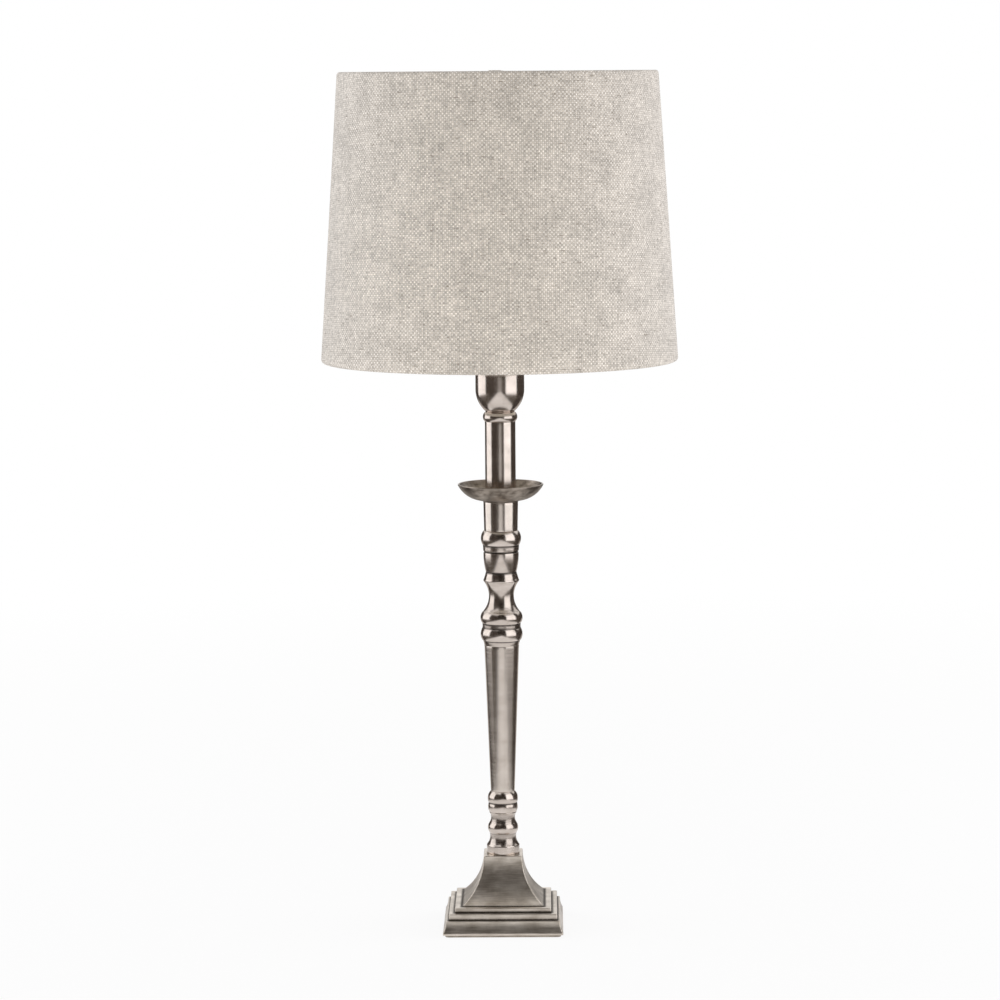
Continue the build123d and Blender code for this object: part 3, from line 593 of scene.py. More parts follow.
@dataclass(frozen=True)
class WovenLinen:
    """Undyed linen in a plain weave, laminated on card: matt, mottled from ivory to greige, with dark slubs.

    Attributes:
        name: The material's name.
        warp: Pitch of the threads that run up the shade, in millimetres, as in the photograph.
        weft: Pitch of the threads across.
        warp_yarn: The paler yarn.
        weft_yarn: The darker one.
        gap_shade: Painted shade between the yarns, where the weave dips.
        slub: Thick places of the weft.
        slub_length: How far a thick place runs along its thread.
    """

    name: str
    warp: float
    weft: float
    warp_yarn: str
    weft_yarn: str
    gap_shade: str
    slub: str
    slub_length: float

    def make(self) -> bpy.types.Material:
        """Builds the material from the place on the flat cut.

        Formula: crossings of warp and weft alternate like a chessboard, each a dome |sin| x |sin| high. A
        fleck on each crossing, each thread's own tone, broad clouds and the fibres add up to how light the
        cloth is.
        """
        it = Recipe(self.name)
        threads = it.add("Mapping", it.laid, Scale=per_size(self.warp, self.weft, 1000.0))
        across, up, _ = it.add("SeparateXYZ", threads).outputs
        cells = [it.add("Math", way, settings=FLOOR) for way in (across, up)]
        odd = it.add("Math", it.add("Math", *cells, settings=ADD), 2.0, settings=MODULO)
        warp_on_top = it.add("Math", odd, settings=ABSOLUTE)
        turns = [it.add("Math", way, math.pi, settings=MULTIPLY) for way in (across, up)]
        waves = [it.add("Math", turn, settings=SINE) for turn in turns]
        humps = (it.add("Math", wave, settings=ABSOLUTE) for wave in waves)
        dome = it.add("Math", *humps, settings=MULTIPLY)
        height = it.add("Math", dome, it.add("MapRange", warp_on_top, 0.0, 1.0, 0.7, 1.0), settings=MULTIPLY)
        crossing = it.add("VectorMath", threads, settings=FLOOR)
        fleck = it.add("TexWhiteNoise", crossing, settings={"noise_dimensions": "2D"})
        light = it.add("Math", fleck, 0.32, settings=MULTIPLY)
        for weight, sizes, detail in (
            (0.34, (self.warp * 1.1, 46.0), 1.0),  # each warp thread
            (0.34, (self.slub_length, self.weft * 1.1), 1.0),  # each weft thread
            (0.45, (28.0, 20.0), 3.0),  # clouds
            (0.78, (0.7, 0.7), 1.0),  # fibres
        ):
            at = it.add("Mapping", it.laid, Scale=per_size(*sizes, 1.0))
            cloud = it.add("TexNoise", at, Scale=1.0, Detail=detail)
            light = it.add("Math", light, it.add("Math", cloud, weight, settings=MULTIPLY), settings=ADD)
        thick = it.add("Mapping", it.laid, Scale=per_size(self.slub_length * 0.4, self.weft * 0.9, 1.0))
        slub = it.add("TexNoise", thick, Scale=1.0, Detail=2.0)
        cloth = it.add("Mix", warp_on_top, self.weft_yarn, self.warp_yarn, settings=COLOURS)
        # Painted shade: the cloth turns towards the gap colour between the crossings, where the yarns dip.
        between = it.add("MapRange", dome, 0.1, 0.7, 0.5, 0.0)
        cloth = it.add("Mix", between, cloth, self.gap_shade, settings=COLOURS)
        brightness = it.add("Math", light, -0.145, settings=ADD)
        cloth = it.add("VectorMath", cloth, Scale=brightness, settings=SCALE)
        thickened = it.add("MapRange", slub, 0.62, 0.72, 0.0, 0.6)
        cloth = it.add("Mix", thickened, cloth, self.slub, settings=COLOURS)
        return it.finish(it.add(
            "BsdfPrincipled", Base_Color=cloth, Roughness=0.92, Specular_IOR_Level=0.25, Sheen_Weight=0.1,
            Sheen_Roughness=0.5, Normal=it.add("Bump", Height=height, Distance=0.22 * MM, Strength=0.6),
        ))


@dataclass(frozen=True)
class Plain:
    """A moulded, glazed or plated finish with a fine grain.

    Attributes:
        name: The material's name.
        colour: Its colour.
        second: The colour it drifts to.
        roughness: Its mean roughness.
        drift: Size of that drift in millimetres.
        grit: Size of the surface's grain.
        depth: Height of the grain in millimetres.
        sockets: The shader's own constants.
    """

    name: str
    colour: str
    second: str
    roughness: float
    drift: float = 9.0
    grit: float = 0.6
    depth: float = 0.01
    sockets: dict[str, Any] = field(default_factory=dict)

    def make(self) -> bpy.types.Material:
        """Builds the material."""
        it = Recipe(self.name)
        coarse, fine = (
            it.add("Mapping", it.place, Scale=per_size(*[size] * 3)) for size in (self.drift, self.grit)
        )
        cloud = it.add("TexNoise", coarse, Scale=1.0, Detail=3.0)
        grit = it.add("TexNoise", fine, Scale=1.0, Detail=2.0)
        patch = it.add("MapRange", cloud, 0.35, 0.65)
        colour = it.add("Mix", patch, self.colour, self.second, settings=COLOURS)
        return it.finish(it.add(
            "BsdfPrincipled", Base_Color=colour,
            Roughness=it.add("MapRange", grit, 0.3, 0.7, self.roughness - 0.04, self.roughness + 0.05),
            Normal=it.add("Bump", Height=grit, Distance=self.depth * MM, Strength=0.5), **self.sockets,
        ))


class Finish(Enum):
    """Every finish of the lamp, with how the real surface was made."""

    TURNED_PEWTER = AntiquePewter(
        "turned_antique_pewter", "#d6cbc3", "#bfb4ab", "#2f2822", "#e3d9d0",
        roughness=0.19, streak=(14.0, 0.45), cloud=11.0, scratch=0.002, wear=0.3,
    )
    BRUSHED_PEWTER = AntiquePewter(
        "brushed_antique_pewter", "#d8cec5", "#c6bcb3", "#2f2822", "#e3d9d0",
        roughness=0.20, streak=(22.0, 0.6), cloud=13.0, scratch=0.0012, wear=0.3,
    )
    PAN_PEWTER = AntiquePewter(
        "spun_antique_pewter", "#a99e93", "#5f564d", "#2f2822", "#b4a99f",
        roughness=0.36, streak=(9.0, 0.6), cloud=5.0, scratch=0.006, wear=0.4, stretch=0.3,
    )
    CAST_PEWTER = AntiquePewter(
        "cast_antique_pewter", "#e8dfd4", "#aca194", "#3a322a", "#ece3d8",
        roughness=0.35, streak=(19.0, 0.9), cloud=14.0, scratch=0.005, wear=0.12, stretch=0.2,
    )
    LINEN = WovenLinen(
        "plain_weave_linen", warp=1.42, weft=1.42,
        warp_yarn="#e6dfd6", weft_yarn="#cdc4b8", gap_shade="#a0968a", slub="#75685a", slub_length=15.0,
    )
    STYRENE = Plain("calendered_styrene", "#f2efe8", "#ece8df", 0.45, 40.0, 0.8, 0.005)
    WIRE_ENAMEL = Plain("powder_coated_wire", "#e4e0d6", "#d8d3c8", 0.42, 14.0, 0.7, 0.02)
    ZINC = Plain("zinc_plated_steel", "#b9bcc0", "#9da0a6", 0.34, 4.0, 0.3, 0.006, {"Metallic": 1.0})
    PHENOLIC = Plain("moulded_black_phenolic", "#17171a", "#1f1f22", 0.38, 12.0, 0.5, 0.006)
    NYLON = Plain("moulded_black_nylon", "#1c1b1b", "#262524", 0.52, 5.0, 0.4, 0.01)
    WHITE_ABS = Plain("moulded_white_abs", "#e9e6df", "#e2ded5", 0.40, 12.0, 0.6, 0.008)
    STEATITE = Plain("pressed_steatite", "#e8e2d4", "#dcd4c4", 0.58, 3.0, 0.35, 0.02)
    BRASS = Plain("rolled_brass", "#c79f58", "#b08a48", 0.30, 3.0, 0.25, 0.006, {"Metallic": 1.0})
    CAP_NICKEL = Plain("nickelled_brass_cap", "#c9c4ba", "#b4aea3", 0.24, 5.0, 0.3, 0.004, {"Metallic": 1.0})
    VITRITE = Plain("black_cap_glass", "#0f0e10", "#17151a", 0.16, 4.0, 0.6, 0.004)
    SOLDER = Plain("tin_solder", "#a9aaab", "#8d8e90", 0.36, 1.2, 0.5, 0.03, {"Metallic": 1.0})
    PHOSPHOR = Plain("silicone_phosphor", "#e3b04a", "#d79f38", 0.42, 2.0, 0.2, 0.01)
    LEAD_WIRE = Plain("nickel_lead_wire", "#b8b5b0", "#a29f9a", 0.28, 1.0, 0.2, 0.003, {"Metallic": 1.0})
    FELT = Plain("pressed_wool_felt", "#a79e92", "#8f867a", 0.97, 6.0, 0.45, 0.12, {"Sheen_Weight": 0.2})
    GLASS = Plain(
        "blown_clear_glass", "#fbfdfc", "#f7fafa", 0.04, 30.0, 8.0, 0.0,
        {"Transmission_Weight": 1.0, "IOR": 1.5},
    )

    @property
    def material(self) -> bpy.types.Material:
        """The material, made the first time it is asked for."""
        made = bpy.data.materials.get(self.value.name)
        return made or self.value.make()


def dress(piece: bpy.types.Object, finish: Finish) -> bpy.types.Object:
    """Gives a piece one finish."""
    piece.data.materials.clear()
    piece.data.materials.append(finish.material)
    return piece


def place(piece: bpy.types.Object, finish: Finish, body: str, slot: str, *nodes: str) -> bpy.types.Object:
    """Dresses a new piece, rides it on its body and lets it stand for its CAD nodes."""
    dress(piece, finish)
    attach(piece, body)
    if nodes:
        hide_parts(*nodes)
    stands_for = ", ".join(nodes) or "nothing"
    LOG.info("%s: %d faces on %s for %s", piece.name, len(piece.data.polygons), body, stands_for)
    return piece


def keep(finish: Finish, *nodes: str) -> None:
    """Keeps the shapes of CAD nodes: modifiers weld their triangles and leave sharp folds crisp."""
    for node in nodes:
        piece = dress(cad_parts[node], finish)
        piece.data.shade_smooth()
        piece.modifiers.new("weld", "WELD").merge_threshold = 1e-6
        piece.modifiers.new("crisp_edges", "EDGE_SPLIT").split_angle = math.radians(28)
        LOG.info("%s: kept from the frame", node)


# ---------------------------------------------------------------- the lamp

SPIGOT_D, SPIGOT_H, BORE_D = 13.4, 1.5, 10.5
REGISTER_D, REGISTER_H = 13.6, 1.8


def turning(first_d: float, spigot_d: float = SPIGOT_D, spigot_h: float = SPIGOT_H) -> Profile:
    """The underside of a stacked piece: bore, centring spigot and seat."""
    return Profile(BORE_D, -spigot_h).corners((spigot_d, -spigot_h), (spigot_d, 0)).line(first_d, 0)


def registered(profile: Profile) -> Profile:
    """Closes a stacked piece with the recess for the next spigot and its bore."""
    top = profile.here[1]
    floor = top - REGISTER_H
    foot = profile.runs[0][0][1]
    return profile.line(REGISTER_D, top).corners((REGISTER_D, floor), (BORE_D, floor), (BORE_D, foot))


def stacked(
    name: str, node: str, profile: Profile, seat_z: float, finish: Finish, ease: float = 0.45
) -> None:
    """Turns a piece of the stand and sets it on the one below."""
    piece = turned(profile.points(ease)).build(name, lift=seat_z)
    place(piece, finish, "stand", "antique_nickel", node)


@dataclass
class Foot:
    """The square cast foot with two steps and a sweep, on a felt pad; a bush for the cord at the back."""

    floor: float = 1.5
    width: float = 84.4
    edge_h: float = 1.6
    plinth_w: float = 80.1
    plinth_h: float = 9.8
    low_w: float = 76.1
    low_h: float = 4.5
    high_w: float = 67.7
    high_h: float = 3.3
    sweep_w: float = 58.1
    top_w: float = 27.3
    height: float = 50.6
    roof: float = 10.1
    pocket_w: float = 69.1
    pocket_r: float = 5.5
    cone_d: float = 48.0
    nut_room_d: float = 21.0
    nut_room_h: float = 8.0
    arris: float = 0.9
    hole_z: float = 6.4
    hole_d: float = 7.6
    seat_d: float = 9.2
    seat_depth: float = 2.3
    land_w: float = 17.6
    pocket_draft: float = 0.2
    cut_past: float = 3.0
    cut_into: float = 9.0
    rubbing: Rubbing = Rubbing(1.1, 3.0, 0.32, 0.5, 0.3, 1.4, 0.4, 0.05)

    def section(self) -> np.ndarray:
        """The foot's closed section as (half width, height, corner radius, roundness)."""
        low, high = self.plinth_h + self.low_h, self.plinth_h + self.low_h + self.high_h
        seat, floor = self.height - self.roof, self.height - REGISTER_H
        outer = Profile(self.pocket_w, 0).line(self.width, 0).line(self.width, self.edge_h)
        outer.arriving((0, 1), self.plinth_w, self.plinth_h)
        outer.line(self.low_w, self.plinth_h).line(self.low_w, low).line(self.high_w, low)
        outer.line(self.high_w, high).line(self.sweep_w, high)
        outer.arriving((0, 1), self.top_w, self.height).line(self.land_w, self.height)
        bore = Profile(REGISTER_D, self.height).corners(
            (REGISTER_D, floor), (BORE_D, floor), (BORE_D, seat), (self.nut_room_d, seat),
            (self.nut_room_d, seat - self.nut_room_h), (self.cone_d, self.plinth_h),
        )
        pocket = Profile(self.pocket_w - 2 * self.pocket_draft, self.plinth_h)
        pocket.corners((self.pocket_w, self.pocket_draft))
        parts = []
        for profile, *corner in ((outer, self.arris, 0.0), (bore, 0.0, 1.0), (pocket, self.pocket_r, 0.0)):
            path = np.vstack(profile.runs)
            parts.append(np.hstack([path, np.tile(corner, (len(path), 1))]))
        parts[0][0, 2] = self.pocket_r
        return softened(np.vstack(parts), 0.5)

    def casting(self) -> bpy.types.Object:
        """The foot as one closed surface, with the cord hole cut through its back wall."""
        section = self.section()
        rings, near = square_ring(section[:, 0], section[:, 2], section[:, 3])
        heights = np.broadcast_to(section[:, 1, None, None], (*rings.shape[:2], 1))
        hollow, worn = (mark[:, None] for mark in self.rubbing.marks(section[:, :2]))
        square = (section[:, 3] < 0.5)[:, None]
        corner_wear = 0.8 * near[None, :] * square * (hollow < 0.4)
        marks = {"hollow": hollow * np.ones_like(near)[None, :], "worn": np.maximum(worn, corner_wear)}
        around = run_lengths(np.vstack([rings[0], rings[0][:1]]))
        points, laid = np.concatenate([rings, heights], -1), unrolled(section[:, :2], around)
        foot = Surface(points, True, True, laid, marks).build("cast_foot", 50.0, self.floor)
        bored(foot, self.cutter())
        return foot

    def cutter(self) -> bpy.types.Object:
        """A stepped peg along +Y, the shape of the cord hole and its spot face."""
        outside = self.width / 2
        step, end = outside - self.seat_depth, outside + self.cut_past
        start = step - self.cut_into
        peg = Profile(0, start).corners(
            (self.hole_d, start), (self.hole_d, step), (self.seat_d, step), (self.seat_d, end), (0, end)
        )
        surface = turned(peg.points(), 64)
        x, y, z = np.moveaxis(surface.points, -1, 0)
        surface.points = np.stack([x, z, self.hole_z - y], -1)
        surface.laid, surface.marks = None, {}
        return surface.build("cord_hole_peg")

    def build(self) -> None:
        """Makes the foot and dresses its pad and bush."""
        place(self.casting(), Finish.CAST_PEWTER, "stand", "antique_nickel", "foot")
        keep(Finish.FELT, "base_felt")
        keep(Finish.NYLON, "cord_bush")


def bored(piece: bpy.types.Object, peg: bpy.types.Object) -> None:
    """Cuts a peg's shape out of a piece, applied to its mesh, and removes the peg."""
    cut = piece.modifiers.new("bored", "BOOLEAN")
    cut.operation, cut.solver, cut.object = "DIFFERENCE", "EXACT", peg
    graph = bpy.context.evaluated_depsgraph_get()
    made = bpy.data.meshes.new_from_object(piece.evaluated_get(graph), depsgraph=graph)
    piece.modifiers.clear()
    old, piece.data = piece.data, made
    made.name = piece.name
    bpy.data.meshes.remove(old)
    bpy.data.objects.remove(peg)


@dataclass
class Column:
    """The turned pieces from the foot to the pan, each on the spigot of the next."""

    knop_z: float = 52.1
    ferrule_z: float = 81.8
    shaft_z: float = 96.7
    collar_z: float = 201.0
    waist_z: float = 225.3
    vase_z: float = 246.2
    socket_z: float = 282.3

    def build(self) -> None:
        """Turns the seven pieces."""
        metal = Finish.TURNED_PEWTER
        knop = turning(23.2).rise(23.2, 5.9).moulding(18.75, 19.2, 8.6).moulding(21.4, 19.0, 7.3)
        knop.moulding(16.9, 18.9, 7.2).line(19.2, knop.here[1]).rise(19.2, 0.7)
        stacked("turned_lower_knop", "lower_knop", registered(knop), self.knop_z, metal)
        ferrule = turning(19.5).moulding(21.0, 20.0, 6.4).moulding(21.2, 16.9, 8.5)
        stacked("turned_ferrule", "ferrule", registered(ferrule), self.ferrule_z, metal, 0.3)
        shaft = turning(16.9).rise(24.4, 104.3)
        stacked("turned_shaft", "shaft", registered(shaft), self.shaft_z, Finish.BRUSHED_PEWTER, 0.2)
        collar = turning(24.4).moulding(25.2, 26.4, 3.7).line(27.2, 3.7).moulding(29.6, 26.9, 8.8)
        collar.rise(26.9, 3.0).moulding(29.75, 25.6, 8.8)
        stacked("turned_collar_knop", "collar_knop", registered(collar), self.collar_z, metal, 0.35)
        waist = turning(25.6).moulding(17.6, 24.6, 20.9)
        stacked("turned_waist", "waist", registered(waist), self.waist_z, metal, 0.2)
        vase = turning(24.6).moulding(25.3, 24.6, 1.8).line(21.5, 6.7).moulding(24.2, 24.9, 14.0)
        vase.line(24.1, vase.here[1]).rise(24.1, 1.2).line(25.2, vase.here[1]).rise(25.5, 4.2)
        vase.line(25.9, vase.here[1]).moulding(28.4, 24.6, 10.0)
        stacked("turned_vase_knop", "vase_knop", registered(vase), self.vase_z, metal, 0.3)
        socket, brushed = turning(23.7).rise(24.5, 20.5), Finish.BRUSHED_PEWTER
        stacked("turned_socket", "socket_tube", registered(socket), self.socket_z, brushed, 0.25)


@dataclass
class PanAndCup:
    """The spun drip pan, the candle tube on it, and the ring and cup on top of the tube."""

    pan_z: float = 302.8
    pan_d: float = 60.3
    pan_h: float = 12.6
    wall: float = 1.4
    foot_d: float = 25.2
    foot_h: float = 1.0
    tube_z: float = 305.2
    tube_d: float = 21.55
    tube_bore: float = 19.55
    tube_l: float = 54.2
    ring_z: float = 359.4
    cup_z: float = 366.5
    cup_d: float = 34.4
    bowl_h: float = 15.5
    lip_z: float = 27.5
    cup_wall: float = 1.8
    floor_t: float = 4.0
    floor_d: float = 21.0

    def pan(self) -> Profile:
        """A shallow dish with a rounded rim."""
        rim = self.pan_h - self.wall / 2
        pan = turning(self.foot_d).rise(self.foot_d, self.foot_h).leaving((1, 0), self.pan_d, rim)
        pan.through(self.pan_d - self.wall, self.pan_h, self.pan_d - 2 * self.wall, rim)
        pan.arriving((-1, 0), self.foot_d, self.foot_h + self.wall)
        return pan.corners((BORE_D, self.foot_h + self.wall), (BORE_D, -SPIGOT_H))

    def cup(self) -> Profile:
        """A round-bottomed cup with an upright lip and a flat floor inside for the nut."""
        inner = self.cup_d - 2 * self.cup_wall
        edge = self.lip_z - self.cup_wall / 2
        cup = turning(20.3).arriving((0, 1), self.cup_d, self.bowl_h).line(self.cup_d, edge)
        cup.through(self.cup_d - self.cup_wall, self.lip_z, inner, edge).line(inner, self.bowl_h)
        cup.leaving((0, -1), self.floor_d, self.floor_t)
        return cup.corners((BORE_D, self.floor_t), (BORE_D, -SPIGOT_H))

    def build(self) -> None:
        """Makes the four pieces and dresses what holds them."""
        stacked("spun_drip_pan", "drip_pan", self.pan(), self.pan_z, Finish.PAN_PEWTER, 0.35)
        tube = Profile(self.tube_bore, 0).line(self.tube_d, 0).line(self.tube_d, self.tube_l)
        tube.line(self.tube_bore, self.tube_l).corners((self.tube_bore, 0))
        stacked("drawn_candle_tube", "candle_tube", tube, self.tube_z, Finish.TURNED_PEWTER, 0.2)
        ring = turning(21.7, self.tube_bore - 0.2, 5.0).moulding(24.3, 20.3, 7.1)
        stacked("turned_neck_ring", "neck_ring", registered(ring), self.ring_z, Finish.TURNED_PEWTER, 0.25)
        stacked("turned_holder_cup", "holder_cup", self.cup(), self.cup_z, Finish.TURNED_PEWTER, 0.3)
        keep(Finish.ZINC, "candle_bush", "centre_rod", "rod_nuts", "rod_washers")


@dataclass
class Lampholder:
    """The small screw lampholder: base, threaded skirt with a shoulder, ceramic, shell and contacts."""

    base_z: float = 375.7
    base_foot_d: float = 24.0
    base_h: float = 13.3
    tongue_d: float = 25.2
    tongue_top: float = 17.3
    room_d: float = 23.4
    floor_t: float = 3.2
    boss_d: float = 15.0
    boss_top: float = 10.0
    entry_d: float = 10.0
    skirt_z: float = 389.0
    shell_z: float = 403.0
    outer_d: float = 28.0
    skirt_h: float = 41.0
    shoulder_z: float = 17.0
    shoulder_t: float = 3.0
    shoulder_d: float = 34.0
    thread_pitch: float = 2.3
    thread_depth: float = 0.7
    mouth_d: float = 18.6
    mouth_t: float = 1.6
    skirt_wall: float = 1.3
    shell_d: float = 15.4
    shell_flange_d: float = 23.0
    shell_h: float = 21.5
    sheet: float = 0.5
    cap_pitch: float = 2.82
    cap_depth: float = 0.56

    def skirt(self) -> bpy.types.Object:
        """The upper shell with the thread for the ring nut."""
        inner, outer, lip = self.outer_d - 2 * self.skirt_wall, self.outer_d, self.skirt_h - self.mouth_t
        seat, top = self.shoulder_z, self.shoulder_z + self.shoulder_t
        skirt = Profile(inner, 0, 0.08).corners(
            (outer, 0), (outer, seat), (self.shoulder_d, seat), (self.shoulder_d, top), (outer, top)
        )
        skirt.line(outer, self.skirt_h)
        skirt.corners((self.mouth_d, self.skirt_h), (self.mouth_d, lip), (inner, lip), (inner, 0))
        path = skirt.points(0.3)
        inwards = -1.0 * (np.gradient(path[:, 1]) > 0)
        band, pitch = (top + 0.5, self.skirt_h - 0.8), self.thread_pitch
        surface = threaded(path, pitch, self.thread_depth, band, pitch / 2, inwards, 96)
        return surface.build("threaded_holder_skirt", lift=self.skirt_z)

    def base(self) -> bpy.types.Object:
        """The lower shell with its eased foot."""
        base = Profile(self.entry_d, 0).line(self.base_foot_d, 0).leaving((1, 0), self.outer_d, 2.0)
        base.line(self.outer_d, self.base_h).line(self.tongue_d, self.base_h).corners(
            (self.tongue_d, self.tongue_top), (self.room_d, self.tongue_top), (self.room_d, self.floor_t),
            (self.boss_d, self.floor_t), (self.boss_d, self.boss_top), (self.entry_d, self.boss_top),
            (self.entry_d, 0),
        )
        return turned(base.points(0.25), 120).build("moulded_holder_base", lift=self.base_z)

    def shell(self) -> bpy.types.Object:
        """The screw shell: rolled sheet whose grooves swell outwards from the bore."""
        bore, flange = self.shell_d - 2 * self.sheet, self.sheet + 0.1
        shell = Profile(bore, 0, 0.1).corners(
            (self.shell_flange_d, 0), (self.shell_flange_d, flange), (self.shell_d, flange)
        )
        shell.line(self.shell_d, self.shell_h).corners((bore, self.shell_h)).line(bore, 0)
        path = shell.points(0.1)
        outwards = 1.0 * (path[:, 0] < self.shell_d / 2 + 0.2)
        surface = threaded(path, self.cap_pitch, self.cap_depth, (2.0, self.shell_h - 0.6), 1.4, outwards)
        return surface.build("rolled_screw_shell", lift=self.shell_z)

    def build(self) -> None:
        """Makes the shells and dresses the block and its contacts."""
        place(self.skirt(), Finish.PHENOLIC, "stand", "black_plastic", "holder_skirt")
        place(self.base(), Finish.PHENOLIC, "stand", "black_plastic", "holder_base")
        place(self.shell(), Finish.BRASS, "stand", "brass", "screw_shell")
        keep(Finish.STEATITE, "contact_block")
        keep(Finish.ZINC, "terminal_screws")
        keep(Finish.BRASS, "centre_contact")


class Rim(Enum):
    """The shade's two rims."""

    BOTTOM = "bottom"
    TOP = "top"


@dataclass
class LinenShade:
    """The linen cone: one sheet on a stiff liner, rolled round a wire at each rim and lapped at the back.

    Attributes:
        foot_z: Height of the lower rim.
        height: From rim to rim.
        bottom_d: Diameter over the cloth at the lower rim.
        top_d: The same at the upper rim.
        cloth: Thickness of the cloth.
        liner: Thickness of the liner.
        roll: Outer radius of the cloth round a wire.
        hem_depth: How far the hem's glued edge reaches down the liner.
        lap: How far the end of the sheet covers its start.
        lap_lift: How far that end stands off the wall.
        lap_rise: The angle over which it rises, in radians.
        seam_at: Bearing of the seam from the X axis, in degrees.
        waves: The cloth's slight waves: size, number round the shade and phase.
    """

    foot_z: float = 402.0
    height: float = 202.0
    bottom_d: float = 250.0
    top_d: float = 223.5
    cloth: float = 0.5
    liner: float = 0.4
    roll: float = 2.25
    hem_depth: float = 8.3
    lap: float = 9.0
    lap_lift: float = 0.56
    lap_rise: float = 0.035
    seam_at: float = 90.0
    waves: tuple[tuple[float, int, float], ...] = ((0.10, 3, 0.4), (0.06, 7, 1.9), (0.04, 17, 0.0))

    @property
    def lean(self) -> float:
        """The wall's lean inwards, in radians."""
        return math.atan2((self.bottom_d - self.top_d) / 2, self.height)

    @property
    def slant(self) -> float:
        """The wall's length up the slope."""
        return math.hypot((self.bottom_d - self.top_d) / 2, self.height)

    @property
    def flat_radius(self) -> float:
        """Radius of the bottom edge on the flat cut, where the cone unrolls to a ring's sector."""
        return self.bottom_d / 2 / math.sin(self.lean)

    def in_wall(self, inset: np.ndarray, depth: np.ndarray, rim: Rim) -> np.ndarray:
        """Points by their inset square to the wall and their depth along it from a rim.

        Args:
            inset: Distances inwards from the outside of the cloth.
            depth: Distances along the wall from the rim.
            rim: The rim that they are measured from.

        Returns:
            The points as (radius, height).
        """
        way = np.array([-math.sin(self.lean), math.cos(self.lean)])
        corner = np.array([self.bottom_d / 2, self.foot_z])
        if rim is Rim.TOP:
            corner, way = np.array([self.top_d / 2, self.foot_z + self.height]), -way
        inward = np.array([-math.cos(self.lean), -math.sin(self.lean)])
        return corner + np.asarray(inset)[:, None] * inward + np.asarray(depth)[:, None] * way

    def hem(self, rim: Rim) -> np.ndarray:
        """The cloth's middle from the wall round the wire to where it is glued on the liner.

        Formula: a circle round the wire from the outside, then the line that touches it and ends on the
        liner.
        """
        radius = self.roll - self.cloth / 2
        end = np.array([self.cloth + self.liner + self.cloth / 2, self.hem_depth])
        away = end - self.roll
        touch = math.atan2(away[1], away[0]) - math.acos(radius / math.hypot(*away))
        angle = np.linspace(math.pi, math.pi * 2 + touch, 16)
        circle = self.roll + radius * np.stack([np.cos(angle), np.sin(angle)], -1)
        tail = circle[-1] + np.linspace(0, 1, 4)[1:, None] * (end - circle[-1])
        inset, depth = np.vstack([circle, tail]).T
        return self.in_wall(inset, depth, rim)

    def section(self) -> tuple[np.ndarray, np.ndarray, np.ndarray]:
        """The cloth's section from hem to hem, as a thin loop up its outside and down its inside.

        Formula: the middle line moved by half the cloth's thickness along its normal, either way.

        Returns:
            The points as (radius, height), their normals, and their length along the middle from the lower
            rim.
        """
        bottom, top = self.hem(Rim.BOTTOM)[::-1], self.hem(Rim.TOP)
        wall = bottom[-1] + np.linspace(0, 1, 26)[1:-1, None] * (top[0] - bottom[-1])
        middle = np.vstack([bottom, wall, top])
        heading = np.gradient(middle, axis=0)
        heading /= np.hypot(*heading.T)[:, None]
        normal = np.stack([heading[:, 1], -heading[:, 0]], -1)
        along = run_lengths(middle)
        along -= along[len(bottom) - 1]
        both = np.vstack([middle + normal * self.cloth / 2, (middle - normal * self.cloth / 2)[::-1]])
        return both, np.vstack([normal, normal[::-1]]), np.concatenate([along, along[::-1]])

    def sheet(self) -> bpy.types.Object:
        """The cloth as one thin closed surface from the seam round to the seam, its end lapped on its start.

        Formula: the section at bearing b, moved along its normals by a smooth step to the lap and by waves
        in b that die out at the rims. The UV is the place on the flat cut, which is a sector of a ring.
        """
        section, outward, lengths = self.section()
        covered = self.lap / (self.bottom_d / 2) * np.linspace(0, 1, 7)[1:]
        angle = np.concatenate([np.linspace(0, FULL_TURN, 321), FULL_TURN + covered])
        step = np.clip((angle - (FULL_TURN - self.lap_rise)) / self.lap_rise, 0, 1)
        step = step * step * (3 - 2 * step)
        bearing = angle + math.radians(self.seam_at)
        ripple = sum(size * np.sin(number * bearing + phase) for size, number, phase in self.waves)
        bow = np.sin(np.clip(lengths / self.slant, 0, 1) * math.pi)
        lift = self.lap_lift * step[:, None] + ripple[:, None] * bow
        path = section + lift[:, :, None] * outward
        around = (np.cos(bearing)[:, None], np.sin(bearing)[:, None])
        points = np.stack([*(path[..., 0] * way for way in around), path[..., 1]], -1)
        flat_angle = (bearing - math.radians(self.seam_at + 180))[:, None] * math.sin(self.lean)
        radius = self.flat_radius - np.append(lengths, lengths[0])
        laid = np.stack([radius * np.sin(flat_angle), radius * np.cos(flat_angle)], -1)
        return Surface(points, False, True, laid * MM, {}, True).build("linen_shade", 60.0)

    def backing(self) -> bpy.types.Object:
        """The liner cone, between the wires."""
        edges = np.full(2, 2 * self.roll + 0.3)
        faces = np.array([self.cloth, self.cloth + self.liner])
        low, high = self.in_wall(faces, edges, Rim.BOTTOM), self.in_wall(faces[::-1], edges, Rim.TOP)
        share = np.linspace(0, 1, 13)[:, None]
        inner, outer = low[1] + share * (high[0] - low[1]), high[1] + share * (low[0] - high[1])
        return turned(np.vstack([inner, outer]), 240).build("shade_backing")

    def build(self) -> None:
        """Makes the cloth and its liner."""
        cloth = place(self.sheet(), Finish.LINEN, "shade", "linen", "shade_linen")
        backing = place(self.backing(), Finish.STYRENE, "shade", "liner", "shade_liner")


@dataclass
class ShadeCarrier:
    """What holds the shade on the lampholder: reducer, carrier ring, arms, two wires and the ring nut."""

    arms: int = 3

    def build(self) -> None:
        """Dresses the carrier's CAD pieces."""
        arms = (f"shade_arm_{number}" for number in range(1, self.arms + 1))
        keep(Finish.WIRE_ENAMEL, "fitter_ring", "bottom_wire", "top_wire", *arms)
        keep(Finish.WHITE_ABS, "reducer_ring")
        keep(Finish.PHENOLIC, "shade_ring_nut")


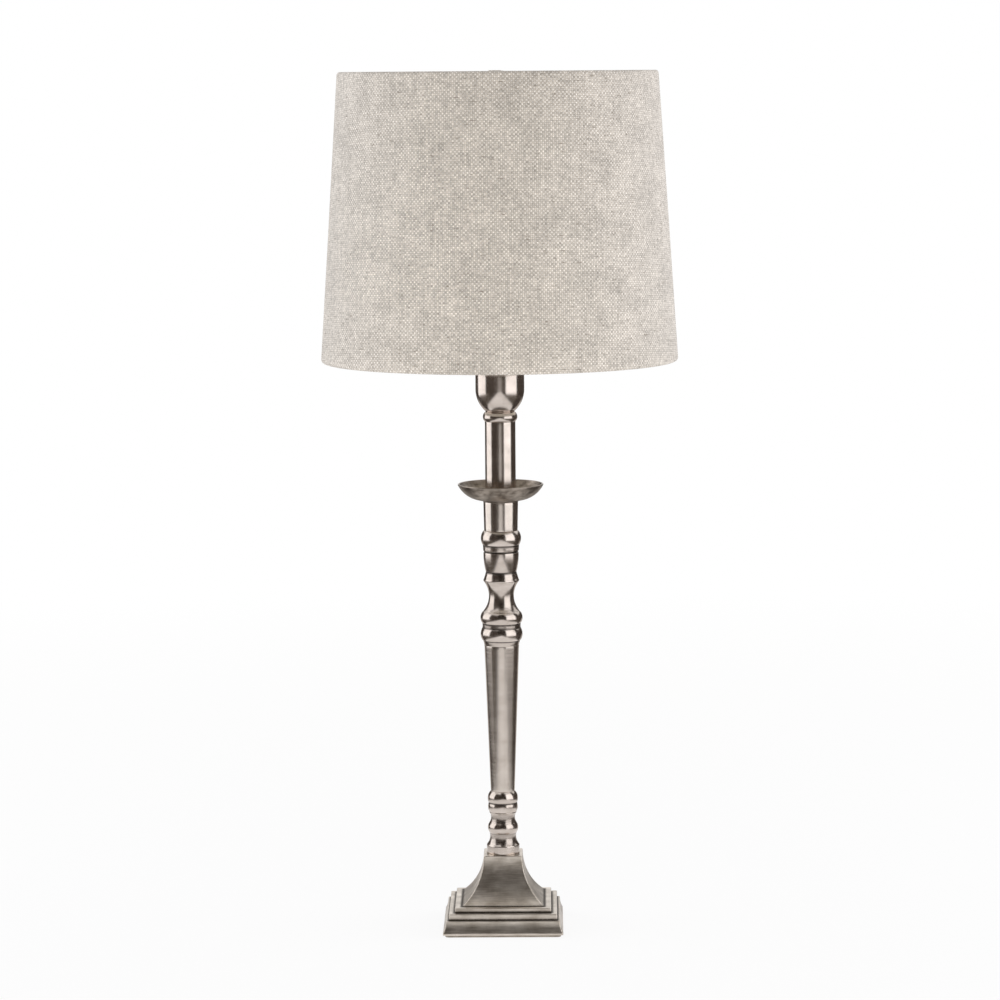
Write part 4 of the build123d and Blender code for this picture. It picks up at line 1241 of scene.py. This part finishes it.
@dataclass
class FilamentBulb:
    """A clear golf-ball bulb with four filament strips, on a small screw cap."""

    foot_z: float = 406.0
    pip_h: float = 1.2
    insulator_h: float = 3.0
    cap_d: float = 13.9
    cap_foot_d: float = 10.9
    cap_h: float = 20.0
    sheet: float = 0.4
    skirt_d: float = 16.8
    skirt_h: float = 5.0
    flare_h: float = 2.0
    pitch: float = 2.82
    globe_d: float = 45.0
    length: float = 78.0
    neck_d: float = 15.2
    glass: float = 0.8
    filaments: int = 4
    thread_depth: float = 0.64
    thread_fade: float = 1.4
    run_in: float = 1.5

    def cap(self) -> bpy.types.Object:
        """The rolled cap: the thread sinks in from the crests, and both walls follow it."""
        foot = self.pip_h + self.insulator_h
        top, flare = foot + self.cap_h, foot + self.cap_h - self.skirt_h
        bend, rolled, full = flare + self.flare_h, foot + self.run_in, (foot + 1.6, flare - 0.4)
        outsides = (self.cap_d, self.cap_foot_d, self.skirt_d)
        inner, inner_foot, inner_skirt = (outside - 2 * self.sheet for outside in outsides)
        cap = Profile(inner_foot, foot, 0.1).corners((self.cap_foot_d, foot), (self.cap_d, rolled))
        cap.line(self.cap_d, flare).corners(
            (self.skirt_d, bend), (self.skirt_d, top),
            (inner_skirt, top), (inner_skirt, bend), (inner, flare),
        )
        path = cap.line(inner, rolled).corners((inner_foot, foot)).points(0.1)
        slack = 0.05
        inwards = -1.0 * ((path[:, 0] > inner / 2 - slack) & (path[:, 0] < self.cap_d / 2 + slack))
        surface = threaded(path, self.pitch, self.thread_depth, full, self.thread_fade, inwards)
        return surface.build("rolled_bulb_cap", lift=self.foot_z)

    def globe(self) -> bpy.types.Object:
        """The glass: a ball on a conical neck, both walls, closed at the foot of the neck.

        Formula: each wall is the line up the neck and the circle that it touches, on to the top of the ball.
        """
        cap_top = self.pip_h + self.insulator_h + self.cap_h
        neck_top, neck_foot = cap_top + 2.0, cap_top - self.skirt_h + self.flare_h
        centre = self.length - self.globe_d / 2
        walls = []
        for inset in (0.0, self.glass):
            radius, neck = self.globe_d / 2 - inset, self.neck_d / 2 - inset
            away = np.array([neck, neck_top - centre])
            touch = math.atan2(away[1], away[0]) + math.acos(radius / math.hypot(*away))
            angle = np.linspace(touch, math.pi / 2, 48)
            ball = np.stack([radius * np.cos(angle), centre + radius * np.sin(angle)], -1)
            ball[-1, 0] = 0.0
            walls.append(np.vstack([[[neck, neck_foot], [neck, neck_top]], ball]))
        path = np.vstack([walls[0], walls[1][::-1]])
        return turned(path, 96).build("blown_globe", 70.0, self.foot_z)

    def build(self) -> None:
        """Makes the cap and the globe and dresses what is inside."""
        place(self.cap(), Finish.CAP_NICKEL, "bulb", "bulb_metal", "bulb_cap")
        place(self.globe(), Finish.GLASS, "bulb", "bulb_glass", "bulb_glass")
        keep(Finish.GLASS, "bulb_stem")
        keep(Finish.SOLDER, "bulb_contact")
        keep(Finish.VITRITE, "bulb_insulator")
        keep(Finish.LEAD_WIRE, "bulb_leads")
        keep(Finish.PHOSPHOR, *(f"bulb_filament_{number}" for number in range(1, self.filaments + 1)))


# ---------------------------------------------------------------- the studio


@dataclass
class SideLamp:
    """A large soft lamp beside the set, which lights the cloth and the floor.

    Attributes:
        name: The lamp's name.
        bearing: Its place round the set, in degrees clockwise from the camera as seen from above.
        power: In watts.
        colour: Of its light.
        size: Its width and height in metres; it stands on the floor.
        distance: From the axis.
    """

    name: str
    bearing: float
    power: float
    colour: str
    size: tuple[float, float] = (1.2, 1.5)
    distance: float = 1.25

    def build(self) -> None:
        """Makes the lamp, facing the middle of the set."""
        data = bpy.data.lights.new(self.name, "AREA")
        data.shape, data.size, data.size_y = "RECTANGLE", *self.size
        data.energy, data.color = self.power, linear(self.colour)[:3]
        lamp = bpy.data.objects.new(self.name, data)
        bpy.context.scene.collection.objects.link(lamp)
        turn = math.radians(self.bearing)
        lamp.location = (-self.distance * math.sin(turn), -self.distance * math.cos(turn), self.size[1] / 2)
        facing = Vector((0, 0, lamp.location.z)) - lamp.location
        lamp.rotation_euler = facing.to_track_quat("-Z", "Y").to_euler()
        lamp.visible_glossy = False


@dataclass(frozen=True)
class Card:
    """A card that only reflections see: polished metal shows a studio's bright and dark cards as stripes.

    Attributes:
        name: Its name.
        bearings: Where it starts and ends round the set, in degrees clockwise from the camera.
        reach: How far its outer edge stands from the axis, in metres.
        tone: Its colour at its outer edge.
        inner_tone: Its colour near the lamp.
        glow: Its own light; 0 for a flag.
        height: The top of a standing card, in metres; 0 for one that lies on the floor.
        steps: How many flat pieces it has.
    """

    name: str
    bearings: tuple[float, float]
    reach: float
    tone: str
    inner_tone: str
    glow: float = 0.0
    height: float = 0.0
    steps: int = 40

    def edges(self, path: float, behind: float) -> tuple[np.ndarray, np.ndarray]:
        """The card's lower or inner edge and its upper or outer edge.

        Formula: a standing card's edges are the same arc. One on the floor starts where a path of constant
        half width w ends, at w / sin(bearing) from the axis, which draws in behind the lamp.

        Args:
            path: Half the width of the clear path in front.
            behind: How near the card comes behind the lamp.

        Returns:
            Both edges as points, count by 3.
        """
        turn = np.radians(np.linspace(*self.bearings, self.steps))
        around = np.stack([-np.sin(turn), -np.cos(turn)], -1)
        side = np.abs(turn)
        drawn_in = np.clip((side - math.pi / 2) / (math.pi / 2), 0, 1) ** 0.7
        inner = path / np.sin(np.clip(side, 0.05, math.pi / 2)) + (behind - path) * drawn_in
        inner = np.full_like(side, self.reach) if self.height else np.minimum(inner, self.reach)
        low, high = np.full((self.steps, 1), 0.002), np.full((self.steps, 1), max(self.height, 0.002))
        return np.hstack([around * inner[:, None], low]), np.hstack([around * self.reach, high])

    def build(self, path: float, behind: float) -> None:
        """Makes the card, whose colour runs from one tone to the other with the distance from the axis."""
        first, second = self.edges(path, behind)
        k = np.arange(self.steps - 1)
        quads = np.stack([k, k + 1, k + 1 + self.steps, k + self.steps], -1)
        mesh = bpy.data.meshes.new(self.name)
        mesh.from_pydata(np.vstack([first, second]).tolist(), [], quads.tolist())
        card = linked(self.name, mesh)
        it = Recipe("card_" + self.name)
        outwards = it.add("MapRange", it.add("VectorMath", it.place, settings=LENGTH), 1.0, 1.36)
        tone = it.add("Mix", outwards, self.inner_tone, self.tone, settings=COLOURS)
        paint = it.add(
            "BsdfPrincipled", Base_Color=tone, Roughness=1.0, Specular_IOR_Level=0.0,
            Emission_Color="#ffffff", Emission_Strength=self.glow,
        )
        mesh.materials.append(it.finish(paint))
        card.visible_camera = card.visible_diffuse = card.visible_shadow = False
        card.visible_transmission = card.visible_volume_scatter = False


@dataclass
class Studio:
    """Pale floor, white surroundings, three lamps, the cards that metal and glass reflect, and the camera.

    Attributes:
        eye: Where the camera stands, in metres, as are the other lengths here.
        pitch: How far it looks down, in degrees.
        yaw: How far it is turned to the left, in degrees.
        roll: How far it leans, in degrees.
        lens: Its focal length in millimetres, for a 36 mm sensor.
        rise: Its shift up, as a share of the frame.
        path_half_width: Half the width of the white path in front that the floor cards leave.
        card_behind: How near the floor cards come behind the lamp.
        floor_reach: Half the floor's width.
        floor_drop: How far the floor lies under the felt.
        glow: The floor's own white near the lamp, which leaves room for its shadow.
        fill: The world's light on everything that isn't a mirror.
    """

    eye: tuple[float, float, float] = (0.032, -2.6, 0.605)
    pitch: float = 5.84
    yaw: float = 0.71
    roll: float = -0.42
    lens: float = 134.0
    rise: float = -0.05
    path_half_width: float = 0.36
    card_behind: float = 0.24
    floor_reach: float = 9.0
    floor_drop: float = 0.0003
    glow: float = 0.88
    fill: float = 0.62

    def camera(self) -> None:
        """The camera at the photograph's height and distance."""
        data = bpy.data.cameras.new("camera")
        data.lens, data.sensor_width, data.shift_y = self.lens, 36.0, self.rise
        data.clip_start, data.clip_end = 0.05, 40.0
        camera = bpy.data.objects.new("camera", data)
        bpy.context.scene.collection.objects.link(camera)
        turn = Matrix.Rotation(math.radians(self.yaw), 4, "Z")
        turn = turn @ Matrix.Rotation(math.radians(90 - self.pitch), 4, "X")
        turn = turn @ Matrix.Rotation(math.radians(self.roll), 4, "Z")
        camera.matrix_world = Matrix.Translation(self.eye) @ turn
        bpy.context.scene.camera = camera

    def seen(self, tree: bpy.types.NodeTree) -> bpy.types.Node:
        """1 for camera, glossy and transmission rays, which see the white surroundings."""
        rays = add_node(tree, "LightPath").outputs
        shiny = add_node(tree, "Math", rays["Is Glossy Ray"], rays["Is Transmission Ray"], settings=MAXIMUM)
        return add_node(tree, "Math", rays["Is Camera Ray"], shiny, settings=MAXIMUM)

    def floor(self) -> None:
        """A wide pale floor with a white glow of its own, clear when it is seen from below."""
        reach, z = self.floor_reach, -self.floor_drop
        corners = [(x * reach, y * reach, z) for x, y in ((-1, -1), (1, -1), (1, 1), (-1, 1))]
        mesh = bpy.data.meshes.new("floor")
        mesh.from_pydata(corners, [], [(0, 1, 2, 3)])
        floor = linked("floor", mesh)
        it = Recipe("white_sweep")
        paint = it.add("BsdfPrincipled", Base_Color="#f2f0ee", Roughness=0.9, Specular_IOR_Level=0.0)
        glow = it.add("Emission", Color="#ffffff", Strength=1.0)
        far = it.add("VectorMath", it.place, settings=LENGTH)
        white = it.add("MapRange", far, 0.3, 1.7, self.glow, 1.0)
        share = it.add("Math", self.seen(it.tree), white, settings=MULTIPLY)
        lit = it.add("MixShader", share, paint, glow)
        below = it.add("NewGeometry").outputs["Backfacing"]
        mesh.materials.append(it.finish(it.add("MixShader", below, lit, it.add("BsdfTransparent"))))

    def cards(self) -> None:
        """Dark walls and two softboxes round the set, and floor cards that leave a white path in front."""
        dark, black, grey, pale, white = "#4f4843", "#453f3a", "#5f5850", "#cfc8c0", "#ffffff"
        for card in (
            Card("front_wall_foot", (-24.0, 24.0), 3.28, "#7d756d", "#7d756d", 0.0, 0.4),
            Card("front_wall", (-24.0, 24.0), 3.3, black, black, 0.0, 14.0),
            Card("left_wall", (24.0, 122.0), 1.36, dark, dark, 0.0, 1.7),
            Card("left_rear_wall", (122.0, 163.0), 1.36, dark, dark, 0.0, 0.7),
            Card("right_wall", (-24.0, -112.0), 1.36, dark, dark, 0.0, 1.7),
            Card("right_rear_wall", (-112.0, -163.0), 1.36, dark, dark, 0.0, 0.7),
            Card("left_softbox", (70.0, 122.0), 1.31, white, white, 0.65, 1.5),
            Card("right_softbox", (-86.0, -28.0), 1.31, white, white, 0.7, 1.5),
            Card("left_front_floor", (6.3, 24.0), 3.3, dark, dark),
            Card("left_mid_floor", (24.0, 52.0), 1.36, dark, dark),
            # Painted light: left_floor is paler towards its outer edge, standing for the floor that the left
            # softbox lights.
            Card("left_floor", (52.0, 104.0), 1.36, "#b0a89f", grey),
            Card("left_rear_floor", (104.0, 140.0), 1.36, dark, dark),
            Card("left_back_floor", (140.0, 180.0), 1.36, pale, pale),
            Card("right_front_floor", (-6.3, -24.0), 3.3, dark, dark),
            Card("right_mid_floor", (-24.0, -36.0), 1.36, dark, dark),
            # Painted light: right_floor is paler towards its outer edge, standing for the floor that the
            # right softbox lights.
            Card("right_floor", (-36.0, -96.0), 1.36, "#b8b0a7", grey),
            Card("right_rear_floor", (-96.0, -140.0), 1.36, dark, dark),
            Card("right_back_floor", (-140.0, -180.0), 1.36, pale, pale),
        ):
            card.build(self.path_half_width, self.card_behind)

    def surroundings(self) -> None:
        """A white world for camera, glossy and transmission rays, and a plain level of fill for the rest."""
        world = bpy.data.worlds.new("studio")
        bpy.context.scene.world = world
        world.use_nodes = True
        tree = world.node_tree
        tree.nodes.clear()
        fill = add_node(tree, "Background", Color="#ffffff", Strength=self.fill)
        white = add_node(tree, "Background", Color="#ffffff", Strength=1.0)
        add_node(tree, "OutputWorld", add_node(tree, "MixShader", self.seen(tree), fill, white))

    def build(self) -> None:
        """Sets the whole studio up."""
        self.camera()
        self.surroundings()
        self.floor()
        self.cards()
        for lamp in (
            SideLamp("left_lamp", 96.0, power=10.0, colour="#eef4ff"),
            SideLamp("right_lamp", -96.0, power=11.5, colour="#f2f6ff"),
            SideLamp("low_front_lamp", 0.0, power=3.8, colour="#ffffff", size=(1.2, 0.2), distance=1.1),
        ):
            lamp.build()
        bpy.context.scene.view_settings.view_transform = "Standard"


def main() -> None:
    """Builds the studio and the lamp's sub-assemblies."""
    logging.basicConfig(level=logging.INFO, format="%(name)s %(message)s")
    kinds = (Studio, Foot, Column, PanAndCup, Lampholder, ShadeCarrier, LinenShade, FilamentBulb)
    for part in (kind() for kind in kinds):
        LOG.info("building %s", type(part).__name__)
        part.build()
    bpy.context.view_layer.update()


if __name__ == "__main__":
    main()
